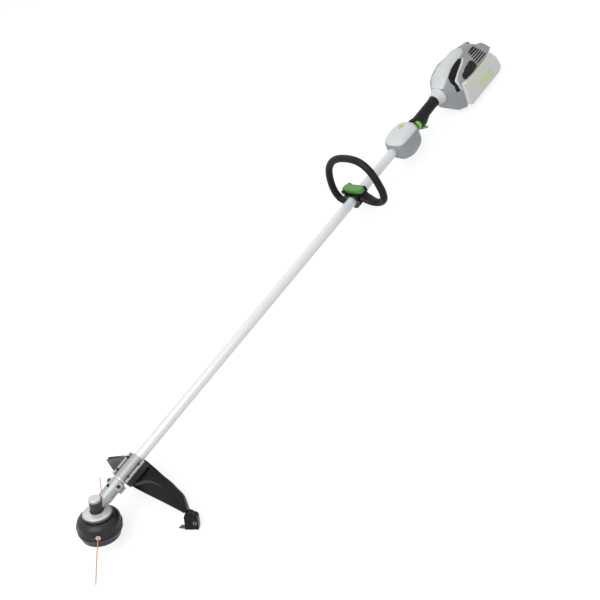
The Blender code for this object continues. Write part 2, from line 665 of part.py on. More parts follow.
def guard_row(share):
    """One cut through the guard at a share of its half span: front edge, crown, rear shoulder and skirt.

    The table gives the rear shoulder's reach in half spans, and its height.
    """
    side = abs(share)
    table = ((0.0, 0.9114, 0.0540), (0.16, 0.9241, 0.0430), (0.32, 0.9557, 0.0250), (0.5, 0.9937, 0.0120),
             (0.7, 1.0, 0.0040), (0.85, 0.9494, -0.0020), (1.0, 0.8671, -0.0090))
    rear = list(table[-1])
    for near, far in zip(table[:-1], table[1:]):
        if side <= far[0]:
            part = (side - near[0]) / (far[0] - near[0])
            rear = [a + (b - a) * part for a, b in zip(near, far)]
            break
    rear[1] *= GUARD_HALF_SPAN
    front = (GUARD_FRONT + 0.2848 * GUARD_HALF_SPAN * side ** 1.5, 0.0230 - 0.0320 * side * side)
    bulge = 0.012 * side * (1.0 - side)
    crown = ((front[0] + rear[1]) / 2, (front[1] + rear[2]) / 2 + bulge)
    y = GUARD_HALF_SPAN * share
    return [(front[0], y, front[1]), (crown[0], y, crown[1]), (rear[1], y, rear[2]),
            (rear[1] + 0.0070, y, rear[2] - 0.0060), (rear[1] + 0.0095, y, rear[2] - 0.0160),
            (rear[1] + 0.0105, y, GUARD_SKIRT_BOTTOM)]


def make_guard(tool, head):
    """The guard's moulded shell, its line cutter, and the two clamp halves and bolts that hold it."""
    columns = 18
    bm = bmesh.new()
    rows = []
    for index in range(columns + 1):
        share = 2.0 * index / columns - 1.0
        rows.append([bm.verts.new(point) for point in guard_row(share)])
    for near, far in zip(rows[:-1], rows[1:]):
        for i in range(len(near) - 1):
            bm.faces.new((near[i], near[i + 1], far[i + 1], far[i]))
    bmesh.ops.recalc_face_normals(bm, faces=bm.faces)
    if sum(face.normal.z for face in bm.faces) < 0.0:
        bmesh.ops.reverse_faces(bm, faces=bm.faces)
    shell = add_object("guard_shell", mesh_from("guard_shell", bm), head, "black plastic")
    wall = shell.modifiers.new("Wall", "SOLIDIFY")
    wall.thickness = GUARD_WALL
    wall.offset = -1.0
    low = GUARD_CLAMP_CENTRE - GUARD_CLAMP_LENGTH / 2
    high = GUARD_CLAMP_CENTRE + GUARD_CLAMP_LENGTH / 2
    half = GUARD_CLAMP_HALF_WIDTH
    outer = TUBE_DIAMETER / 2
    under = -outer - GUARD_CLAMP_WALL
    tongue = box("guard_tongue", (low + 0.004, -half, under - 0.0035), (high, half, under - SEAT_GAP), tool)
    ribs = []
    for index, y in enumerate((-0.0130, 0.0, 0.0130)):
        outline = [(low + 0.008, under - 0.002), (low + 0.014, under - 0.008), (high - 0.012, under - 0.020),
                   (high - 0.002, under - 0.020), (high - 0.002, under - 0.002)]
        ribs.append(extruded("guard_rib_%d" % index, outline, y - 0.0015, y + 0.0015, tool))
    reach = GUARD_BLOCK_REACH
    base = GUARD_BLOCK_BOTTOM
    block = box("guard_end_block", (reach - 0.016, -0.010, base), (reach + 0.016, 0.010, base + 0.038), head)
    block.matrix_local = Matrix.Rotation(GUARD_BLOCK_AZIMUTH, 4, "Z")
    boolean(shell, [tongue] + ribs + [block], "UNION")
    bore = rod("guard_clamp_bore", outer + SEAT_GAP, low - 0.01, high + 0.01, tool, sides=36)
    flange = 0.0035
    saddle = outer + GUARD_CLAMP_WALL
    lip = half - GUARD_LIP_WIDTH
    top_half = [(half, 0.0004), (half, GUARD_LIP_HEIGHT), (lip, GUARD_LIP_HEIGHT), (lip, flange),
                (saddle - 0.0005, flange)]
    for step in range(1, 8):
        angle = math.radians(15 + 150 * step / 8)
        top_half.append((saddle * math.cos(angle), saddle * math.sin(angle)))
    top_half += [(-saddle + 0.0005, flange), (-lip, flange), (-lip, GUARD_LIP_HEIGHT),
                 (-half, GUARD_LIP_HEIGHT), (-half, 0.0004)]
    upper = extruded("guard_clamp_upper", top_half, low, high, tool, "cast aluminium", facing="X")
    lower_outline = [(-half, -0.0004), (-half, under), (half, under), (half, -0.0004)]
    lower = extruded("guard_clamp_lower", lower_outline, low, high, tool, "cast aluminium", facing="X")
    boolean(upper, [bore])
    boolean(lower, [bore])
    bolt_cuts = []
    place = half - GUARD_LIP_WIDTH / 2
    for index, (x, y) in enumerate(((low + 0.014, -place), (high - 0.014, -place),
                                    (low + 0.014, place), (high - 0.014, place))):
        name = "guard_bolt_%d" % (index + 1)
        make_screw(name, tool, "Z", (x, y), 0.0022, under - 0.0070, GUARD_LIP_HEIGHT + SEAT_GAP, 0.0040, 0.0030)
        bolt_cuts.append(rod(name + "_cut", 0.0022 + SEAT_GAP, under - 0.0200, 0.012, tool, axis="Z",
                             centre=(x, y), sides=16))
    boolean(upper, bolt_cuts)
    boolean(lower, bolt_cuts)
    hole = rod("guard_end_hole", 0.0030, -0.02, 0.02, head, axis="Y", centre=(reach + 0.008, base + 0.018), sides=16)
    hole.matrix_local = block.matrix_local.copy()
    boolean(shell, bolt_cuts + [hole])
    blade = extruded("line_cutter_blade", [(reach - 0.034, -0.002), (reach, -0.009), (reach, 0.009),
                                           (reach - 0.028, 0.009)],
                     base - 0.0016, base - SEAT_GAP, head, "steel", facing="Z")
    blade.matrix_local = Matrix.Rotation(GUARD_BLOCK_AZIMUTH, 4, "Z")


def handle_path():
    """The loop's centre line: out of the clamp to the right, round over the shaft and back from the left."""
    w = HANDLE_HALF_WIDTH
    top = HANDLE_HEIGHT
    drop = -HANDLE_DROP
    shift = -HANDLE_OFFSET
    right = [(0.010, 0.006), (0.026, 0.000), (0.045, drop + 0.0050), (0.066, drop), (w - 0.011, -0.0090),
             (w - 0.0015, 0.008), (w, 0.030), (w - 0.004, 0.055), (w - 0.014, 0.080), (w - 0.032, top - 0.0145),
             (w - 0.056, top - 0.0030), (0.0, top)]
    lower = [z - HANDLE_RIGHT_DROP * min(1.0, max(0.0, y - 0.024) / 0.02) * max(0.0, min(1.0, 1.0 - z / 0.05))
             for y, z in right]
    points = [(HANDLE_LEAN * max(0.0, z), y + shift * min(1.0, y / 0.06), z) for (y, _), z in zip(right, lower)]
    points[-1] = (HANDLE_LEAN * top, shift, top)
    points += [(HANDLE_LEAN * max(0.0, z), -y + shift * min(1.0, y / 0.06), z) for y, z in reversed(right[:-1])]
    return smooth_path(points, 2)


def make_loop_handle(tool):
    """The loop handle with its clamp: loop, lower jaw, draw bolt and green lever."""
    frame = add_empty("handle_frame", tool, (HANDLE_POSITION, 0.0, 0.0), (HANDLE_ROLL, 0.0, 0.0))
    bar = HANDLE_BAR_RADIUS
    path = handle_path()
    rings = []
    count = 14
    across = Vector((1.0, 0.0, 0.0))
    for index, place in enumerate(path):
        before = path[max(0, index - 1)]
        after = path[min(len(path) - 1, index + 1)]
        out = (after - before).normalized().cross(across).normalized()
        reach = min(index, len(path) - 1 - index) / 2.0
        blend = min(1.0, max(0.0, (reach - 0.5) / 3.0))
        blend = blend * blend * (3 - 2 * blend)
        wide = 0.0180 + (bar - 0.0180) * blend
        thick = 0.0062 + (bar - 0.0062) * blend
        ring = []
        for k in range(count):
            angle = 2 * math.pi * k / count
            ring.append(place + across * wide * math.cos(angle) + out * thick * math.sin(angle))
        rings.append(ring)
    loop = add_object("loop_handle", rings_mesh("loop_handle", rings), frame, "black plastic")
    half = HANDLE_CLAMP_LENGTH / 2
    width = HANDLE_CLAMP_HALF_WIDTH
    top = HANDLE_CLAMP_TOP
    saddle = box("handle_saddle", (-half, -width, -0.0030), (half, width, top), frame)
    pin = Vector((0.0285, top + 0.0058))
    lug_outline = rounded([(pin.x - 0.0150, top - 0.0030, 0.0), (pin.x - 0.0020, top - 0.0030, 0.0),
                           (pin.x + 0.0045, pin.y - 0.0040, 0.002), (pin.x + 0.0045, pin.y + 0.0045, 0.003),
                           (pin.x - 0.0060, pin.y + 0.0045, 0.003)], steps=3)
    lever_half = 0.0115
    lugs = []
    for side in (-1, 1):
        low = lever_half + 0.0006 if side > 0 else -lever_half - 0.0056
        lugs.append(extruded("lever_lug_%d" % side, lug_outline, low, low + 0.0050, frame, facing="X"))
    boolean(loop, [saddle] + lugs, "UNION")
    jaw_room = box("handle_jaw_room", (-half - 0.002, -width - 0.0015, -0.060),
                   (half + 0.002, width + 0.0015, 0.0004), frame)
    bore = rod("handle_bore", TUBE_DIAMETER / 2 + SEAT_GAP, -0.06, 0.06, frame, sides=36)
    bolt_place = (0.0, -width + 0.0060)
    bolt_hole = rod("handle_bolt_hole", 0.0025 + SEAT_GAP, -0.05, 0.03, frame, axis="Z", centre=bolt_place,
                    sides=16)
    pin_hole = rod("lever_pin_hole", 0.0020 + SEAT_GAP, -0.030, 0.030, frame, centre=pin, sides=16)
    head_hole = rod("handle_head_hole", 0.0042 + SEAT_GAP, top - 0.0026, top + 0.005, frame, axis="Z",
                    centre=bolt_place, sides=16)
    boolean(loop, [jaw_room, bore, bolt_hole, head_hole, pin_hole])
    jaw_outline = [(-width + 0.001, -0.0004), (-width + 0.001, -0.0130), (0.0020, -0.0310), (0.0140, -0.0310),
                   (width - 0.001, -0.0130), (width - 0.001, -0.0004)]
    jaw = extruded("handle_lower_jaw", jaw_outline, -half + 0.003, half - 0.003, frame, "black plastic",
                   facing="X")
    boolean(jaw, [bore, bolt_hole])
    make_screw("handle_draw_bolt", frame, "Z", bolt_place, 0.0025, -0.0160, top - 0.0023, 0.0042, 0.0020)
    hinge = add_empty("lever_hinge", frame, (0.0, pin.x, pin.y))
    low = -0.0050
    outline = rounded([(-lever_half, 0.0, 0.004), (-lever_half, -0.0470, 0.006), (-0.0060, -0.0640, 0.003),
                       (0.0060, -0.0640, 0.003), (lever_half, -0.0470, 0.006), (lever_half, 0.0, 0.004),
                       (lever_half - 0.003, 0.0065, 0.002), (-lever_half + 0.003, 0.0065, 0.002)], steps=2)
    lever = extruded("handle_clamp_lever", outline, low, low + 0.0110, hinge, "green plastic", facing="Z")
    pivot = rod("lever_trunnions", 0.0020, -lever_half - 0.0052, lever_half + 0.0052, hinge, sides=16)
    boolean(lever, [pivot], "UNION")


def make_front_housing(tool):
    """The rounded controller housing on the tube: upper and lower shells, and the board in it."""
    start = FRONT_HOUSING_START
    end = start + FRONT_HOUSING_LENGTH
    w = FRONT_HOUSING_HALF_WIDTH
    top = FRONT_HOUSING_TOP
    bottom = FRONT_HOUSING_BOTTOM
    neck = TUBE_DIAMETER / 2 + 0.0045
    length = FRONT_HOUSING_LENGTH
    stations = [(start, neck, neck, -neck, 2.0),
                (start + 0.0404 * length, neck + 0.004, neck + 0.003, -neck - 0.005, 2.2),
                (start + 0.2424 * length, w - 0.003, top - 0.002, bottom + 0.012, 2.6),
                (start + 0.5253 * length, w, top, bottom, 2.7),
                (start + 0.8283 * length, w - 0.003, top - 0.001, bottom + 0.004, 2.7),
                (start + 0.9192 * length, w - 0.011, top - 0.005, bottom + 0.018, 2.4),
                (end, neck + 0.001, neck + 0.002, -neck - 0.001, 2.0)]
    room = [(x, a - HOUSING_WALL, t - HOUSING_WALL, b + HOUSING_WALL, n) for x, a, t, b, n in stations[1:-1]]
    board_low = start + 0.2525 * length
    board_high = start + 0.8081 * length
    board_floor = -0.0270
    parting = FRONT_HOUSING_PARTING
    for name, kind, low, high in (("front_housing_upper", "light grey plastic", parting + SEAT_GAP / 2, 0.1),
                                  ("front_housing_lower", "grey plastic", -0.1, parting - SEAT_GAP / 2)):
        shell = loft(name, stations, tool, kind)
        keep = box(name + "_keep", (start - 0.01, -0.1, low), (end + 0.01, 0.1, high), tool)
        boolean(shell, [keep], "INTERSECT")
        hollow = loft(name + "_room", room, tool)
        bore = rod(name + "_bore", TUBE_DIAMETER / 2 + SEAT_GAP, start - 0.01, TUBE_END + SEAT_GAP, tool, sides=36)
        shaft = rod(name + "_shaft", SHAFT_BORE, TUBE_END - 0.01, end + 0.01, tool, sides=16)
        boolean(shell, [hollow])
        if high < 0.05:
            ribs = [box("board_rib_front", (board_low + 0.003, -0.012, bottom + 0.0135),
                        (board_low + 0.006, 0.012, board_floor - SEAT_GAP), tool),
                    box("board_rib_rear", (board_high - 0.006, -0.012, bottom + 0.0065),
                        (board_high - 0.003, 0.012, board_floor - SEAT_GAP), tool),
                    box("tube_rib", (start + 0.505 * length, -w + 0.0015, board_floor + 0.0024),
                        (start + 0.5556 * length, w - 0.0015, parting - 0.0040), tool)]
            boolean(shell, ribs, "UNION")
        boolean(shell, [bore, shaft])
    box("controller_board", (board_low, -0.0220, board_floor), (board_high, 0.0220, board_floor + 0.0020), tool,
        "circuit board")


def grip_stations():
    """The rear grip's sections: a neck for the lock-off, the belly over the trigger, then a round bar."""
    start = GRIP_START
    end = start + GRIP_LENGTH
    r = GRIP_RADIUS
    top = REAR_OFFSET + r
    low = REAR_OFFSET - r
    return [(start, r - 0.0004, top - 0.0004, low, 2.0), (start + 0.0195, r - 0.0002, top, low, 2.0),
            (start + 0.0225, r, top, -GRIP_BELLY + 0.0035, 2.1), (start + 0.032, r, top, -GRIP_BELLY, 2.2),
            (start + 0.044, r, top, -GRIP_BELLY + 0.0010, 2.2), (start + 0.062, r - 0.0002, top, low - 0.0015, 2.0),
            (end - 0.012, r, top, low, 2.0), (end, r + 0.0012, top + 0.0012, low - 0.0012, 2.0)]


def make_grip(tool):
    """The rear grip's two halves with the trigger, the switch behind it and the lock-off saddle."""
    start = GRIP_START
    stations = grip_stations()
    half_slot = TRIGGER_WIDTH / 2 + 0.0006
    pivot = Vector((start + 0.0260, -0.0185))
    for name, low, high in (("grip_left_half", -0.1, -SEAT_GAP / 2), ("grip_right_half", SEAT_GAP / 2, 0.1)):
        half = loft(name, stations, tool, "black rubber", sides=24)
        keep = box(name + "_keep", (start - 0.01, low, -0.1), (start + GRIP_LENGTH + 0.01, high, 0.1), tool)
        bore = rod(name + "_bore", SHAFT_BORE, start - 0.01, start + GRIP_LENGTH + 0.01, tool, sides=16)
        pocket = box(name + "_pocket", (start + 0.0150, -half_slot, -0.050), (start + 0.0455, half_slot, -0.0080),
                     tool)
        nest = box(name + "_nest", (start + 0.0440, -half_slot, -0.0150), (start + 0.0540, half_slot, -0.0080),
                   tool)
        pin = rod(name + "_pin", 0.0015 + SEAT_GAP, -0.0083, 0.0083, tool, axis="Y", centre=pivot, sides=16)
        boolean(half, [keep], "INTERSECT")
        boolean(half, [pocket, nest, bore, pin])
    hinge = add_empty("trigger_hinge", tool, (pivot.x, 0.0, pivot.y))
    reach = -TRIGGER_DEPTH - pivot.y
    outline = rounded([(-0.0085, 0.0020, 0.0015), (-0.0085, -0.0035, 0.002), (0.0080, reach + 0.0110, 0.020),
                       (0.0250, reach, 0.0022), (0.0225, reach + 0.0090, 0.004), (0.0150, reach + 0.0170, 0.004),
                       (0.0178, 0.0010, 0.0015), (0.0150, 0.0026, 0.0015)], steps=3)
    trigger = extruded("trigger", outline, -TRIGGER_WIDTH / 2, TRIGGER_WIDTH / 2, hinge, "green plastic")
    pins = rod("trigger_pins", 0.0015, -0.0080, 0.0080, hinge, axis="Y", sides=12)
    boolean(trigger, [pins], "UNION")
    box("trigger_switch", (start + 0.0462, -0.0040, -0.0146), (start + 0.0536, 0.0040, -0.0084), tool,
        "dark grey plastic")
    inner = GRIP_RADIUS + 0.0004
    outer = inner + LOCK_THICKNESS
    reach = math.radians(148.0)
    saddle = []
    for step in range(19):
        angle = math.pi / 2 - reach + 2 * reach * step / 18
        saddle.append((outer * math.cos(angle), REAR_OFFSET + outer * math.sin(angle)))
    for step in range(19):
        angle = math.pi / 2 + reach - 2 * reach * step / 18
        saddle.append((inner * math.cos(angle), REAR_OFFSET + inner * math.sin(angle)))
    front = start + 0.0015 + LOCK_TRAVEL
    lock = extruded("lock_off_saddle", saddle, front, start + 0.0192, tool, "bright green plastic", facing="X")
    bulge = rounded([(front - 0.002, -0.030, 0.0), (front + 0.0040, -0.0160, 0.004), (start + 0.0192, 0.0, 0.016),
                     (front + 0.0050, 0.0250, 0.004), (front - 0.002, 0.032, 0.0)])
    trim = extruded("lock_off_side", bulge, -0.1, 0.1, tool)
    boolean(lock, [trim], "INTERSECT")


def make_collar(tool):
    """The flared light collar between the grip and the power head."""
    bore = SHAFT_BORE + REAR_OFFSET
    start = COLLAR_START
    end = start + COLLAR_LENGTH
    collar = turned("rear_collar", [(COLLAR_RADIUS - 0.001, end), (COLLAR_RADIUS, end - 0.002),
                                    (COLLAR_RADIUS - 0.0015, end - 0.010), (GRIP_RADIUS + 0.0045, start + 0.004),
                                    (GRIP_RADIUS + 0.0030, start), (bore, start), (bore, end)],
                    tool, "light grey plastic", steps=32, ring=True, along_shaft=True)
    collar.location.z = REAR_OFFSET


def head_section(offset):
    """The power head's half section some way behind its front: base, side, shoulder, slope and top."""
    rows = [(0.000, 0.62, 0.70, -0.0195, 0.0080, 0.0190, 0.0190, 0.0080, 0.0255, 0.0030),
            (0.006, 0.68, 0.78, -0.0390, 0.0120, 0.0260, 0.0290, 0.0110, 0.0380, 0.0050),
            (0.020, 1.02, 1.08, -0.0670, 0.0200, 0.0310, 0.0410, 0.0130, 0.0560, 0.0080),
            (0.045, 1.30, 1.36, POWER_HEAD_BOTTOM, 0.0240, 0.0330, 0.0470, 0.0140, 0.0630, 0.0100),
            (0.090, 1.54, 1.62, POWER_HEAD_BOTTOM, 0.0260, 0.0335, 0.0485, 0.0140, 0.0665, 0.0100),
            (0.115, 1.54, 1.62, POWER_HEAD_BOTTOM, 0.0245, 0.0330, 0.0470, 0.0135, POWER_HEAD_TOP, 0.0100),
            (0.140, 1.54, 1.60, POWER_HEAD_BOTTOM, 0.0225, 0.0320, 0.0430, 0.0130, 0.0590, 0.0100),
            (0.168, 1.44, 1.52, POWER_HEAD_BOTTOM, 0.0205, 0.0315, 0.0385, 0.0130, 0.0480, 0.0080),
            (0.188, 1.32, 1.42, POWER_HEAD_BOTTOM, 0.0185, 0.0350, 0.0310, 0.0200, 0.0370, 0.0060),
            (0.202, 1.20, 1.30, POWER_HEAD_BOTTOM, 0.0175, 0.0370, 0.0265, 0.0265, 0.0310, 0.0040)]
    row = rows[-1]
    for near, far in zip(rows[:-1], rows[1:]):
        if offset <= far[0]:
            share = max(0.0, (offset - near[0]) / (far[0] - near[0]))
            row = [a + (b - a) * share for a, b in zip(near, far)]
            break
    base = row[1] * POWER_HEAD_HALF_WIDTH / 1.62
    side = row[2] * POWER_HEAD_HALF_WIDTH / 1.62
    radius = row[9]
    return [(base, row[3], radius), (side, -0.0080, radius), (side, row[4], radius), (row[5], row[6], radius),
            (row[7], row[8], radius)]


def slope_reach(offset, height):
    """How far the sloping shoulder stands from the middle plane at a height above the shaft."""
    shoulder, slope = head_section(offset)[2:4]
    share = (height - shoulder[1]) / (slope[1] - shoulder[1])
    return shoulder[0] + (slope[0] - shoulder[0]) * share


def power_head_form(name, parent, kind=None, wall=0.0):
    """The power head's form, or the room inside its wall, as a skin through its sections."""
    rings = []
    full = POWER_HEAD_LENGTH + 0.004
    for offset in (0.0, 0.006, 0.020, 0.045, 0.090, 0.115, 0.140, 0.168, 0.188, full):
        place = min(max(offset, wall), full - wall)
        half = head_section(place)
        corners = half + [(-y, z, radius) for y, z, radius in reversed(half)]
        if wall > 0.0:
            corners = [(y, z, max(radius, 0.0005)) for y, z, radius in inset(corners, wall)]
        rings.append([(POWER_HEAD_START + place, y, z) for y, z in rounded(corners, steps=2)])
    return add_object(name, rings_mesh(name, rings), parent, kind)


def boomerang(grow):
    """The side vent's outline from the side, grown by a clearance."""
    x = POWER_HEAD_START
    corners = [(x + 0.0240, -0.0010, 0.003), (x + 0.0355, -0.0010, 0.003), (x + 0.0410, 0.0365, 0.008),
               (x + 0.0920, 0.0500, 0.003), (x + 0.0970, 0.0580, 0.003), (x + 0.0260, 0.0465, 0.012)]
    return rounded(inset(corners, -grow), steps=3)


def make_power_head(tool):
    """The motor housing: hood, two halves, side vents, battery rail, terminals and latch."""
    start = POWER_HEAD_START
    end = start + POWER_HEAD_LENGTH
    hood_end = start + HOOD_LENGTH
    hood_low = 0.030
    gap = SEAT_GAP
    hood = power_head_form("hood_shell", tool, "light grey plastic")
    hood_keep = box("hood_keep", (start - 0.01, -HOOD_HALF_WIDTH, hood_low), (hood_end, HOOD_HALF_WIDTH, 0.1),
                    tool)
    boolean(hood, [hood_keep], "INTERSECT")
    hood_room = power_head_form("hood_room", tool, wall=POWER_HEAD_WALL)
    boolean(hood, [hood_room])
    hood_cut_low = (start - 0.01, -HOOD_HALF_WIDTH - gap, hood_low - gap)
    hood_cut_high = (hood_end + gap, HOOD_HALF_WIDTH + gap, 0.1)
    chamber_end = BAY_WALL - 0.008
    chamber_start = chamber_end - MOTOR_LENGTH
    w = POWER_HEAD_HALF_WIDTH
    hook = end - 0.044
    pivot = Vector((end - 0.020, BAY_CEILING + 0.0065))
    rail_low = BAY_WALL + 0.012
    rail_high = end - 0.052
    for name, low, high, side in (("housing_left", -0.1, -gap / 2, -1), ("housing_right", gap / 2, 0.1, 1)):
        shell = power_head_form(name, tool, "grey plastic")
        keep = box(name + "_keep", (start - 0.01, low, -0.1), (end + 0.02, high, 0.1), tool)
        boolean(shell, [keep], "INTERSECT")
        vent_low = min(side * VENT_DEPTH, side * 0.1)
        vent_high = max(side * VENT_DEPTH, side * 0.1)
        cuts = [
            box(name + "_bay", (BAY_WALL, -0.1, -0.1), (end + 0.02, 0.1, BAY_CEILING), tool),
            box(name + "_hood_cut", hood_cut_low, hood_cut_high, tool),
            box(name + "_attic", (start + 0.050, -0.0290, BAY_CEILING + 0.0075), (end - 0.052, 0.0290, 0.0380),
                tool),
            rod(name + "_shaft", SHAFT_BORE, start - 0.01, BAY_WALL - 0.003, tool, sides=16),
            rod(name + "_motor", MOTOR_RADIUS + gap, chamber_start - 0.0004, chamber_end, tool, sides=32),
            rod(name + "_bearing", 0.0080 + gap, chamber_end - 0.001, BAY_WALL - 0.0025, tool, sides=24),
            box(name + "_rail_seat", (rail_low - gap, -0.0263, BAY_CEILING - 0.001),
                (rail_high + gap, 0.0263, BAY_CEILING + 0.0033), tool),
            box(name + "_terminal_seat", (BAY_WALL - 0.0023, -0.0223, -0.0443), (BAY_WALL + 0.001, 0.0223, -0.0117),
                tool),
            box(name + "_latch_room", (hook - 0.001, -LATCH_HALF_WIDTH - 0.0006, BAY_CEILING - 0.001),
                (end + 0.01, LATCH_HALF_WIDTH + 0.0006, pivot.y + 0.0080), tool),
            box(name + "_latch_notch", (end - 0.0160, -LATCH_HALF_WIDTH - 0.0006, BAY_CEILING + 0.0010),
                (end + 0.01, LATCH_HALF_WIDTH + 0.0006, 0.1), tool),
            rod(name + "_latch_pin", 0.0020 + gap, -LATCH_HALF_WIDTH - 0.0036, LATCH_HALF_WIDTH + 0.0036, tool,
                axis="Y", centre=pivot, sides=16),
            extruded(name + "_vent_cut", boomerang(gap), vent_low, vent_high, tool),
        ]
        for index in range(VENT_COUNT):
            near = 0.119 + 0.003 * index
            far = 0.173 - 0.0005 * index
            z_near = 0.0265 + 0.0043 * index
            z_far = 0.0225 + 0.0040 * index
            inner = side * (min(slope_reach(near, z_near), slope_reach(far, z_far)) - 0.0035)
            outer = side * (w + 0.01)
            outline = [(start + near, z_near - 0.0009), (start + far, z_far - 0.0009),
                       (start + far, z_far + 0.0009), (start + near, z_near + 0.0009)]
            cuts.append(extruded("%s_slot_%d" % (name, index), outline, min(inner, outer), max(inner, outer), tool))
        boolean(shell, cuts)
        vent_name = "vent_grille_left" if side < 0 else "vent_grille_right"
        vent = power_head_form(vent_name, tool, "black plastic")
        vent_in = side * (VENT_DEPTH + gap)
        trim = extruded(vent_name + "_trim", boomerang(0.0), min(vent_in, side * 0.1), max(vent_in, side * 0.1), tool)
        boolean(vent, [trim], "INTERSECT")
        boolean(vent, [power_head_form(vent_name + "_back", tool, wall=POWER_HEAD_WALL)])
    flange = RAIL_FLANGE
    stem = RAIL_STEM
    roof = BAY_CEILING
    rail = [(-0.0260, roof + 0.0030), (-0.0260, roof), (-stem, roof), (-stem, roof - RAIL_DROP),
            (-flange, roof - RAIL_DROP), (-flange, roof - RAIL_DROP - RAIL_THICKNESS),
            (flange, roof - RAIL_DROP - RAIL_THICKNESS), (flange, roof - RAIL_DROP), (stem, roof - RAIL_DROP),
            (stem, roof), (0.0260, roof), (0.0260, roof + 0.0030)]
    extruded("battery_rail", rail, rail_low, rail_high, tool, "dark grey plastic", facing="X")
    box("terminal_block", (BAY_WALL - 0.0020, -0.0220, -0.0440), (BAY_WALL + 0.0100, 0.0220, -0.0120), tool,
        "black plastic")
    latch_hinge = add_empty("latch_hinge", tool, (pivot.x, 0.0, pivot.y))
    tip = hook - pivot.x
    floor = BAY_CEILING - BATTERY_GAP + SEAT_GAP - pivot.y
    outline = rounded([(tip, floor, 0.0), (tip + 0.0060, floor, 0.0), (tip + 0.0060, -0.0055, 0.0),
                       (0.0205, -0.0035, 0.002), (0.0215, 0.0030, 0.003), (0.0160, 0.0080, 0.003),
                       (0.0050, 0.0050, 0.003), (tip, 0.0025, 0.001)], steps=3)
    latch = extruded("battery_latch", outline, -LATCH_HALF_WIDTH, LATCH_HALF_WIDTH, latch_hinge, "black plastic")
    pins = rod("latch_pins", 0.0020, -LATCH_HALF_WIDTH - 0.0032, LATCH_HALF_WIDTH + 0.0032, latch_hinge, axis="Y",
               sides=16)
    boolean(latch, [pins], "UNION")


def make_motor(tool):
    """The motor in the front block: stator, rotor and rear bearing on the drive shaft."""
    end = BAY_WALL - 0.008
    start = end - MOTOR_LENGTH
    shaft = DRIVE_DIAMETER / 2 + SEAT_GAP
    sleeve("motor_stator", MOTOR_RADIUS, 0.0150, start, end - 0.0004, tool, "copper", steps=28)
    sleeve("motor_rotor", 0.0142, shaft, start + 0.001, end - 0.002, tool, "steel", steps=24)
    sleeve("motor_bearing_rear", 0.0080, shaft, end, BAY_WALL - 0.0028, tool, "steel", steps=20)


def battery_outlines():
    """The battery pack seen from the front and from the side, anticlockwise."""
    start = BATTERY_START
    end = BATTERY_END
    w = BATTERY_HALF_WIDTH
    top = BAY_CEILING - BATTERY_GAP
    bottom = BATTERY_BOTTOM
    section = [(-w, bottom, 0.016), (w, bottom, 0.016), (w, top, 0.004), (-w, top, 0.004)]
    side = [(start, bottom + 0.015, 0.006), (start + 0.024, bottom, 0.012), (end - 0.026, bottom, 0.012),
            (end, bottom + 0.019, 0.010), (end - 0.008, -0.018, 0.012), (end - 0.028, top, 0.003),
            (start, top, 0.0)]
    return section, side


